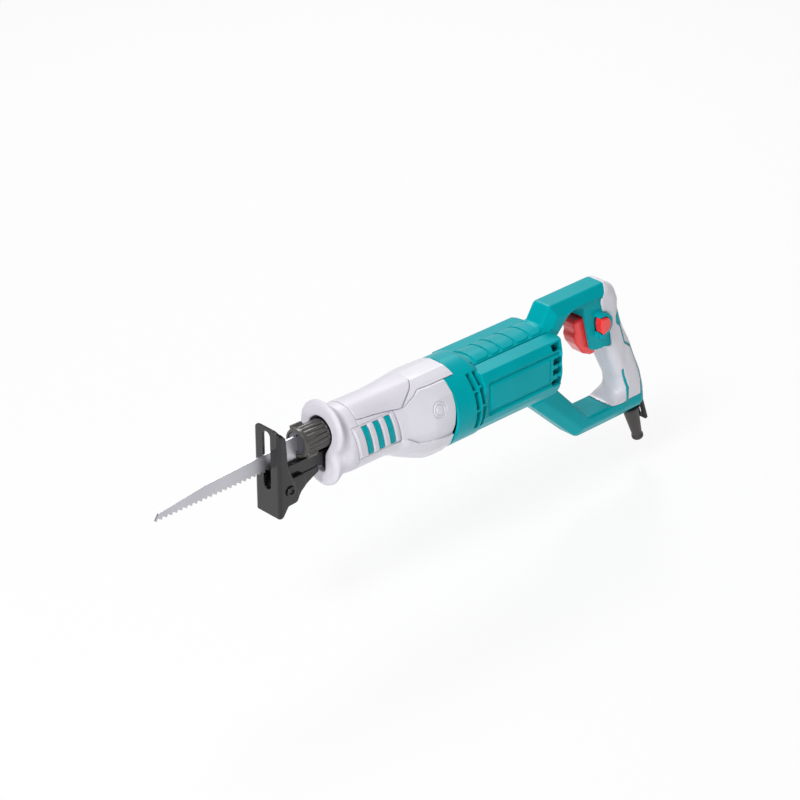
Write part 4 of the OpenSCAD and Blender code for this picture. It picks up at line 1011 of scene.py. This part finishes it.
def foot_bar(x, y, z):
    """Slide bar of the foot, with a forked head that holds the pivot between the cheeks."""
    side = np.abs(y)
    lug = meet(pivot_reach(x, z) - 7.1, side - HEAD_A, 0.8)
    head = meet(BAR_HEAD(x, z), side - HEAD_A, 1.2)
    gusset = meet(GUSSET(x, z), side - GUSSET_A, 1.2)
    spine = meet(meet(BAR(x, z), side - SPINE_A, 0.9), x - BAR_END + 0.05, 0.6)
    ledge = meet(BAR_LEDGE(x, z), side - LEDGE_A, 0.4)
    d = join(join(lug, head, 0.5), join(join(gusset, ledge, 0.4), spine, 0.2), 0.6)
    blade_way = meet(meet(side - 2.2, x + 9, 0.5), -13.2 - z)
    d = cut(d, blade_way, 0.3)
    return cut(d, pivot_reach(x, z) - PIVOT_HOLE)


PIN_R = 2.45
PIN_HEAD_R = 3.9
STAR_POINTS = 7


def pivot_rivet(x, y, z):
    """Pivot pin with both heads crimped in a star."""
    turn = np.arctan2(z - PIVOT_Z, x - PIVOT_X)
    reach = pivot_reach(x, z)
    side = np.abs(y)
    head = meet(reach - PIN_HEAD_R, slab(side, PLATE_A + 0.05, PLATE_A + 1.25), 0.5)
    star = (reach - 1.9 - 0.7 * np.cos(STAR_POINTS * turn)) * 0.6
    d = join(meet(reach - PIN_R, side - PLATE_A - 0.8), head)
    return cut(d, meet(star, PLATE_A + 0.2 - side), 0.15)


COLLAR_R = 10.5
COLLAR_FRONT = 0.45
COLLAR_BACK = 22.95
COLLAR_RIBS = 18
RIB_DEPTH = 0.75
EAR_R = 13.0
EAR_ANGLES = (55, 215)


def collar(x, y, z):
    """Twist collar with a plain front ring, fine ribs and two finger ears."""
    reach, turn = np.hypot(y, z), np.arctan2(z, y)
    ribs = RIB_DEPTH * (0.5 + 0.5 * np.cos(COLLAR_RIBS * turn)) ** 0.5
    ribbed = ease(x - 3.2, 0, 0.8) * ease(22.2 - x, 0, 0.8)
    d = meet(reach - COLLAR_R + (RIB_DEPTH - ribs) * ribbed, slab(x, COLLAR_FRONT, COLLAR_BACK), 0.7)
    for angle in EAR_ANGLES:
        c, s = math.cos(math.radians(angle)), math.sin(math.radians(angle))
        out, across = y * c + z * s, z * c - y * s
        ear = meet(box2(out - EAR_R + 3, across, 2.95, 2.3, 1.0), slab(x, 2.05, 10.95), 1.0)
        d = join(d, ear, 1.2)
    bore = join(reach - 8.35, meet(reach - 9.6, 11.5 - x))
    return cut(d, bore, 0.3)


GUARD_LEN = 39.0
GUARD_START = 5.2
GUARD_R = 6.65
GUARD_NARROWS = 2.7
CORD_BORE = 3.0


def cord_guard(x, y, z):
    """Soft sleeve that guides the cord out of the handle: a tapered cone with a lip at its tip."""
    along, across = guard_axes(x, z)
    reach = np.hypot(across, y)
    taper = np.clip((along - GUARD_START) / (GUARD_LEN - GUARD_START - 4), 0, 1)
    cone = meet(reach - GUARD_R + GUARD_NARROWS * taper, slab(along, GUARD_START + 0.05, GUARD_LEN - 1), 0.6)
    lip = meet(reach - 4.65, slab(along, GUARD_LEN - 4, GUARD_LEN - 0.05), 1.3)
    neck = meet(reach - 5.15, slab(along, -11.95, 6))
    foot = meet(reach - 6.6, slab(along, -7.9, -5.1), 0.4)
    d = join(join(cone, lip, 1.0), join(neck, foot))
    return cut(d, reach - CORD_BORE, 0.4)


# ---------- materials ----------
BUMP_HEIGHT = 0.0002
COAT_ROUGHNESS = 0.12
GLOSS_SHIFT = 0.12
SHADE_SCALE = 38


def add_relief(m, scale, detail, strength, stretch=None):
    """Fine noise in a material's relief, stretched along an axis for drawn or ground metal."""
    nodes, links = m.node_tree.nodes, m.node_tree.links
    place = nodes.new("ShaderNodeTexCoord").outputs["Object"]
    if stretch:
        drawn = nodes.new("ShaderNodeMapping")
        drawn.inputs["Scale"].default_value = stretch
        links.new(place, drawn.inputs["Vector"])
        place = drawn.outputs["Vector"]
    noise = nodes.new("ShaderNodeTexNoise")
    noise.inputs["Scale"].default_value = scale
    noise.inputs["Detail"].default_value = detail
    links.new(place, noise.inputs["Vector"])
    bump = nodes.new("ShaderNodeBump")
    bump.inputs["Strength"].default_value = strength
    bump.inputs["Distance"].default_value = BUMP_HEIGHT
    links.new(noise.outputs["Fac"], bump.inputs["Height"])
    links.new(bump.outputs["Normal"], nodes["Principled BSDF"].inputs["Normal"])


def material(name, colour, roughness, grain=0.0, grain_scale=900.0, metallic=0.0,
             shift=0.04, coat=0.0, shine=0.5, tint=(1, 1, 1)):
    """A moulded or metal surface: fine grain in its relief, and slow shifts in its shade and gloss."""
    m = bpy.data.materials.new(name)
    m.use_nodes = True
    nodes, links = m.node_tree.nodes, m.node_tree.links
    shader = nodes["Principled BSDF"]
    shader.inputs["Metallic"].default_value = metallic
    shader.inputs["Coat Weight"].default_value = coat
    shader.inputs["Coat Roughness"].default_value = COAT_ROUGHNESS
    shader.inputs["Specular IOR Level"].default_value = shine
    shader.inputs["Specular Tint"].default_value = (*tint, 1)
    slow = nodes.new("ShaderNodeTexNoise")
    slow.inputs["Scale"].default_value = SHADE_SCALE
    slow.inputs["Detail"].default_value = 3
    links.new(nodes.new("ShaderNodeTexCoord").outputs["Object"], slow.inputs["Vector"])
    ramp = nodes.new("ShaderNodeValToRGB")
    dark, light = ramp.color_ramp.elements
    dark.position, light.position = 0.3, 0.7
    dark.color = (*[c * (1 - shift) for c in colour], 1)
    light.color = (*[min(1, c * (1 + shift)) for c in colour], 1)
    links.new(slow.outputs["Fac"], ramp.inputs["Fac"])
    links.new(ramp.outputs["Color"], shader.inputs["Base Color"])
    gloss = nodes.new("ShaderNodeMapRange")
    gloss.inputs["To Min"].default_value = roughness * (1 - GLOSS_SHIFT)
    gloss.inputs["To Max"].default_value = min(1, roughness * (1 + GLOSS_SHIFT))
    links.new(slow.outputs["Fac"], gloss.inputs["Value"])
    links.new(gloss.outputs["Result"], shader.inputs["Roughness"])
    if grain:
        add_relief(m, grain_scale, 2, grain)
    return m


def brushed(name, colour, roughness, stretch=(1, 14, 14), depth=0.12):
    """Metal drawn or ground along X, with fine streaks."""
    m = material(name, colour, roughness, metallic=1.0, shift=0.06)
    add_relief(m, 160, 4, depth, stretch)
    return m


def linear(r, g, b):
    """A display colour from 0 to 255 as the shader's linear value."""
    return tuple(((c / 255 + 0.055) / 1.055) ** 2.4 if c > 10 else c / 3295 for c in (r, g, b))


# Each finish by its slot's name: colour, roughness, then grain and its scale
MOULDED = {
    "teal_plastic": dict(colour=(0, 161, 170), roughness=0.34, grain=0.12, grain_scale=1500, shine=0.14,
                         tint=(0.1, 0.9, 0.95)),
    "white_plastic": dict(colour=(216, 214, 222), roughness=0.34, grain=0.12, grain_scale=1400, shift=0.02),
    "white_rubber": dict(colour=(212, 209, 218), roughness=0.42, grain=0.25, grain_scale=1100, shift=0.02,
                         shine=0.4),
    "red_plastic": dict(colour=(255, 44, 46), roughness=0.24, grain=0.08, grain_scale=700, coat=0.4),
    "black_steel": dict(colour=(20, 20, 22), roughness=0.22, grain=0.12, grain_scale=500, shift=0.1, coat=0.15),
    "collar_plastic": dict(colour=(74, 72, 70), roughness=0.34, grain=0.4, shift=0.1),
    "charcoal_rubber": dict(colour=(58, 54, 53), roughness=0.5, grain=0.4, shift=0.08),
    "black_rubber": dict(colour=(40, 40, 41), roughness=0.6, grain=0.4, shift=0.08),
    "black_plastic": dict(colour=(46, 46, 48), roughness=0.45, grain=0.3, shift=0.08),
    "cast_alloy": dict(colour=(165, 168, 172), roughness=0.5, grain=0.6, grain_scale=500, metallic=0.9),
    "carbon": dict(colour=(44, 44, 46), roughness=0.6, grain=0.5, grain_scale=700),
    "lead_insulation": dict(colour=(122, 29, 29), roughness=0.45, grain=0.1),
}
METALS = {
    "blade_steel": dict(colour=(200, 200, 206), roughness=0.42),
    "screw_steel": dict(colour=(170, 172, 176), roughness=0.3, stretch=(6, 6, 6)),
    "bronze": dict(colour=(176, 141, 87), roughness=0.35),
    "bearing_steel": dict(colour=(196, 198, 202), roughness=0.22),
    "gear_steel": dict(colour=(112, 113, 117), roughness=0.34),
    "core_steel": dict(colour=(120, 122, 126), roughness=0.45, stretch=(60, 2, 2), depth=0.4),
    "copper": dict(colour=(190, 108, 58), roughness=0.35, stretch=(3, 30, 30), depth=0.5),
    "brass": dict(colour=(201, 163, 90), roughness=0.3),
    "spring_steel": dict(colour=(160, 162, 166), roughness=0.28, stretch=(8, 8, 8)),
}
LOOKS = {}
for make, finishes in ((material, MOULDED), (brushed, METALS)):
    for name, finish in finishes.items():
        LOOKS[name] = make(name, **{**finish, "colour": linear(*finish["colour"])})


def dress(piece, look, body, *nodes):
    """Gives a piece its finish, body and slot, and hides the CAD nodes that it stands for."""
    piece.data.materials.clear()
    piece.data.materials.append(LOOKS[look])
    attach(piece, body)
    if nodes:
        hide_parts(*nodes)
    return piece


for part in frame["record"]["subparts"]:
    node = frame["nodes"][part["node"]]
    node.data.materials.clear()
    node.data.materials.append(LOOKS[part["material_slot"]])


# ---------- pieces ----------
# The bodies of the pieces that move; all others stay with the housing
MOVED_BY = {
    "trigger": "trigger",
    "lock_button": "lock_button",
    "foot_plate": "foot",
    "foot_bar": "foot_bar",
    "pivot_pin": "foot_bar",
    "collar": "collar",
}


def build(name, field, node, pitch, look, keep=0.4, extra=0.6, shade=None):
    """Meshes a field within a CAD node's box, a little enlarged, and dresses it in that node's place."""
    piece = field_mesh(name, field, low(node) - extra, high(node) + extra, pitch, keep, shade)
    return dress(piece, look, MOVED_BY.get(node, "housing"), node)


def build_inlays(side, word):
    """The teal bands of one side grip, each meshed in a small box of its own."""
    low_y, high_y = sorted((side * 10, side * 22))
    for k in range(INLAYS):
        mid_x = INLAY_X + k * INLAY_PITCH
        lo = [mid_x - 7, low_y, GRIP_LO[2] - 1]
        hi = [mid_x + 7, high_y, GRIP_HI[2] + 1]
        piece = field_mesh("inlay_%s_%d" % (word, k), partial(inlay, side=side, k=k), lo, hi, 0.4)
        dress(piece, "teal_plastic", "housing", "grip_inlays")


SIDES = ((-1, "left"), (1, "right"))
build("housing_left_shell", housing_left, "housing_left", 0.6, "teal_plastic", 0.45, shade=left_form)
build("housing_right_shell", housing_right, "housing_right", 0.6, "teal_plastic", 0.45, shade=right_form)
for side, word in SIDES:
    build("rear_grip_%s_skin" % word, partial(rear_grip, side=side), "rear_grip_" + word, 0.55, "white_plastic",
          shade=partial(grip_skin, side=side))
build("nose_boot_soft", nose_boot, "nose_boot", 0.6, "white_rubber", extra=2)
build("gear_cover", lower_cover, "lower_cover", 0.55, "white_plastic", extra=2.5)
build("top_cover", upper_cover, "upper_cover", 0.6, "white_plastic")
build("top_pad_soft", top_pad, "top_grip_pad", 0.6, "white_rubber", extra=9)
for side, word in SIDES:
    build("grip_" + word, partial(side_grip, side=side), "side_grip_" + word, 0.4, "white_rubber", extra=4)
    build_inlays(side, word)
build("trigger_blade", trigger, "trigger", 0.45, "red_plastic")
build("lock_cap", lock_cap, "lock_button", 0.4, "red_plastic")
build("foot_plate_bent", foot_plate, "foot_plate", 0.45, "black_steel")
build("foot_bar_cast", foot_bar, "foot_bar", 0.5, "black_steel")
build("pivot_rivet", pivot_rivet, "pivot_pin", 0.3, "black_steel")
build("collar_ribbed", collar, "collar", 0.35, "collar_plastic")
build("cord_guard_soft", cord_guard, "cord_guard", 0.4, "charcoal_rubber")


# ---------- stage, lamps and camera ----------
FLOOR_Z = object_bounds()[0][2] - 0.02
PHOTO_TURN = math.radians(-44)
PHOTO_LIFT = math.radians(28)
SKY = 0.25
PAPER_WHITE = 0.86


def paper():
    """Pale paper; seen directly, or through a mirror or glass, it is nearly white but keeps the shadow."""
    m = bpy.data.materials.new("backdrop_paper")
    m.use_nodes = True
    nodes, links = m.node_tree.nodes, m.node_tree.links
    shader = nodes["Principled BSDF"]
    shader.inputs["Base Color"].default_value = (0.86, 0.86, 0.87, 1)
    shader.inputs["Roughness"].default_value = 0.9
    glow = nodes.new("ShaderNodeEmission")
    glow.inputs["Color"].default_value = (1, 1, 1, 1)
    seen = nodes.new("ShaderNodeLightPath")
    total = seen.outputs["Is Camera Ray"]
    for ray in ("Is Glossy Ray", "Is Transmission Ray"):
        either = nodes.new("ShaderNodeMath")
        either.operation = "MAXIMUM"
        links.new(total, either.inputs[0])
        links.new(seen.outputs[ray], either.inputs[1])
        total = either.outputs["Value"]
    share = nodes.new("ShaderNodeMath")
    share.operation = "MULTIPLY"
    share.inputs[1].default_value = PAPER_WHITE
    links.new(total, share.inputs[0])
    mixed = nodes.new("ShaderNodeMixShader")
    links.new(share.outputs["Value"], mixed.inputs["Fac"])
    links.new(shader.outputs["BSDF"], mixed.inputs[1])
    links.new(glow.outputs["Emission"], mixed.inputs[2])
    links.new(mixed.outputs["Shader"], nodes["Material Output"].inputs["Surface"])
    return m


def backdrop():
    """A floor that rises behind the saw in one sweep, turned to face the camera."""
    front, wall, top, bend, half_width = -3, 2.5, 3.2, 0.9, 4
    angles = np.linspace(0, math.pi / 2, 12)
    sweep = [(wall - bend + bend * math.sin(a), FLOOR_Z + bend - bend * math.cos(a)) for a in angles]
    section = [(front, FLOOR_Z)] + sweep + [(wall, top)]
    turn = Matrix.Rotation(PHOTO_TURN, 3, "Z")
    verts = [turn @ Vector((x, y, z)) for y, z in section for x in (-half_width, half_width)]
    faces = [(2 * k, 2 * k + 1, 2 * k + 3, 2 * k + 2) for k in range(len(section) - 1)]
    mesh = bpy.data.meshes.new("backdrop")
    mesh.from_pydata(verts, [], faces)
    for face in mesh.polygons:
        face.use_smooth = True
    mesh.materials.append(paper())
    obj = bpy.data.objects.new("backdrop", mesh)
    bpy.context.scene.collection.objects.link(obj)


def open_sky():
    """Soft light from all round; seen directly it is white."""
    world = bpy.data.worlds.new("world")
    world.use_nodes = True
    nodes, links = world.node_tree.nodes, world.node_tree.links
    sky = nodes["Background"]
    sky.inputs["Color"].default_value = (1, 1, 1, 1)
    seen = nodes.new("ShaderNodeLightPath")
    strength = nodes.new("ShaderNodeMapRange")
    strength.inputs["To Min"].default_value = SKY
    strength.inputs["To Max"].default_value = 0.95
    links.new(seen.outputs["Is Camera Ray"], strength.inputs["Value"])
    links.new(strength.outputs["Result"], sky.inputs["Strength"])
    bpy.context.scene.world = world


def lamp(name, place, aim, size, power):
    """A square area lamp at place, turned toward aim."""
    data = bpy.data.lights.new(name, "AREA")
    data.size = size
    data.energy = power
    obj = bpy.data.objects.new(name, data)
    obj.location = place
    obj.rotation_euler = (Vector(aim) - Vector(place)).to_track_quat("-Z", "Y").to_euler()
    bpy.context.scene.collection.objects.link(obj)


def camera():
    """The photograph's view: from the front left and above, with a long lens."""
    aim = Vector((0.0687, -0.0304, 0.0198))
    reach = 1.7687
    level = math.cos(PHOTO_LIFT)
    back = Vector((math.sin(PHOTO_TURN) * level, -math.cos(PHOTO_TURN) * level, math.sin(PHOTO_LIFT)))
    data = bpy.data.cameras.new("camera")
    data.lens = 117
    obj = bpy.data.objects.new("camera", data)
    obj.location = aim + back * reach
    obj.rotation_euler = back.to_track_quat("Z", "Y").to_euler()
    bpy.context.scene.collection.objects.link(obj)
    bpy.context.scene.camera = obj


backdrop()
lamp("key", (-1.1, -0.35, 1.35), (0.1, 0, 0), 0.45, 24)
lamp("fill", (-1.2, -1.5, 0.1), (0.1, 0, 0), 0.6, 11)
lamp("rim", (0.9, 0.9, 1.2), (0.15, 0, 0), 0.5, 12)
open_sky()
camera()
bpy.context.scene.view_settings.view_transform = "Standard"
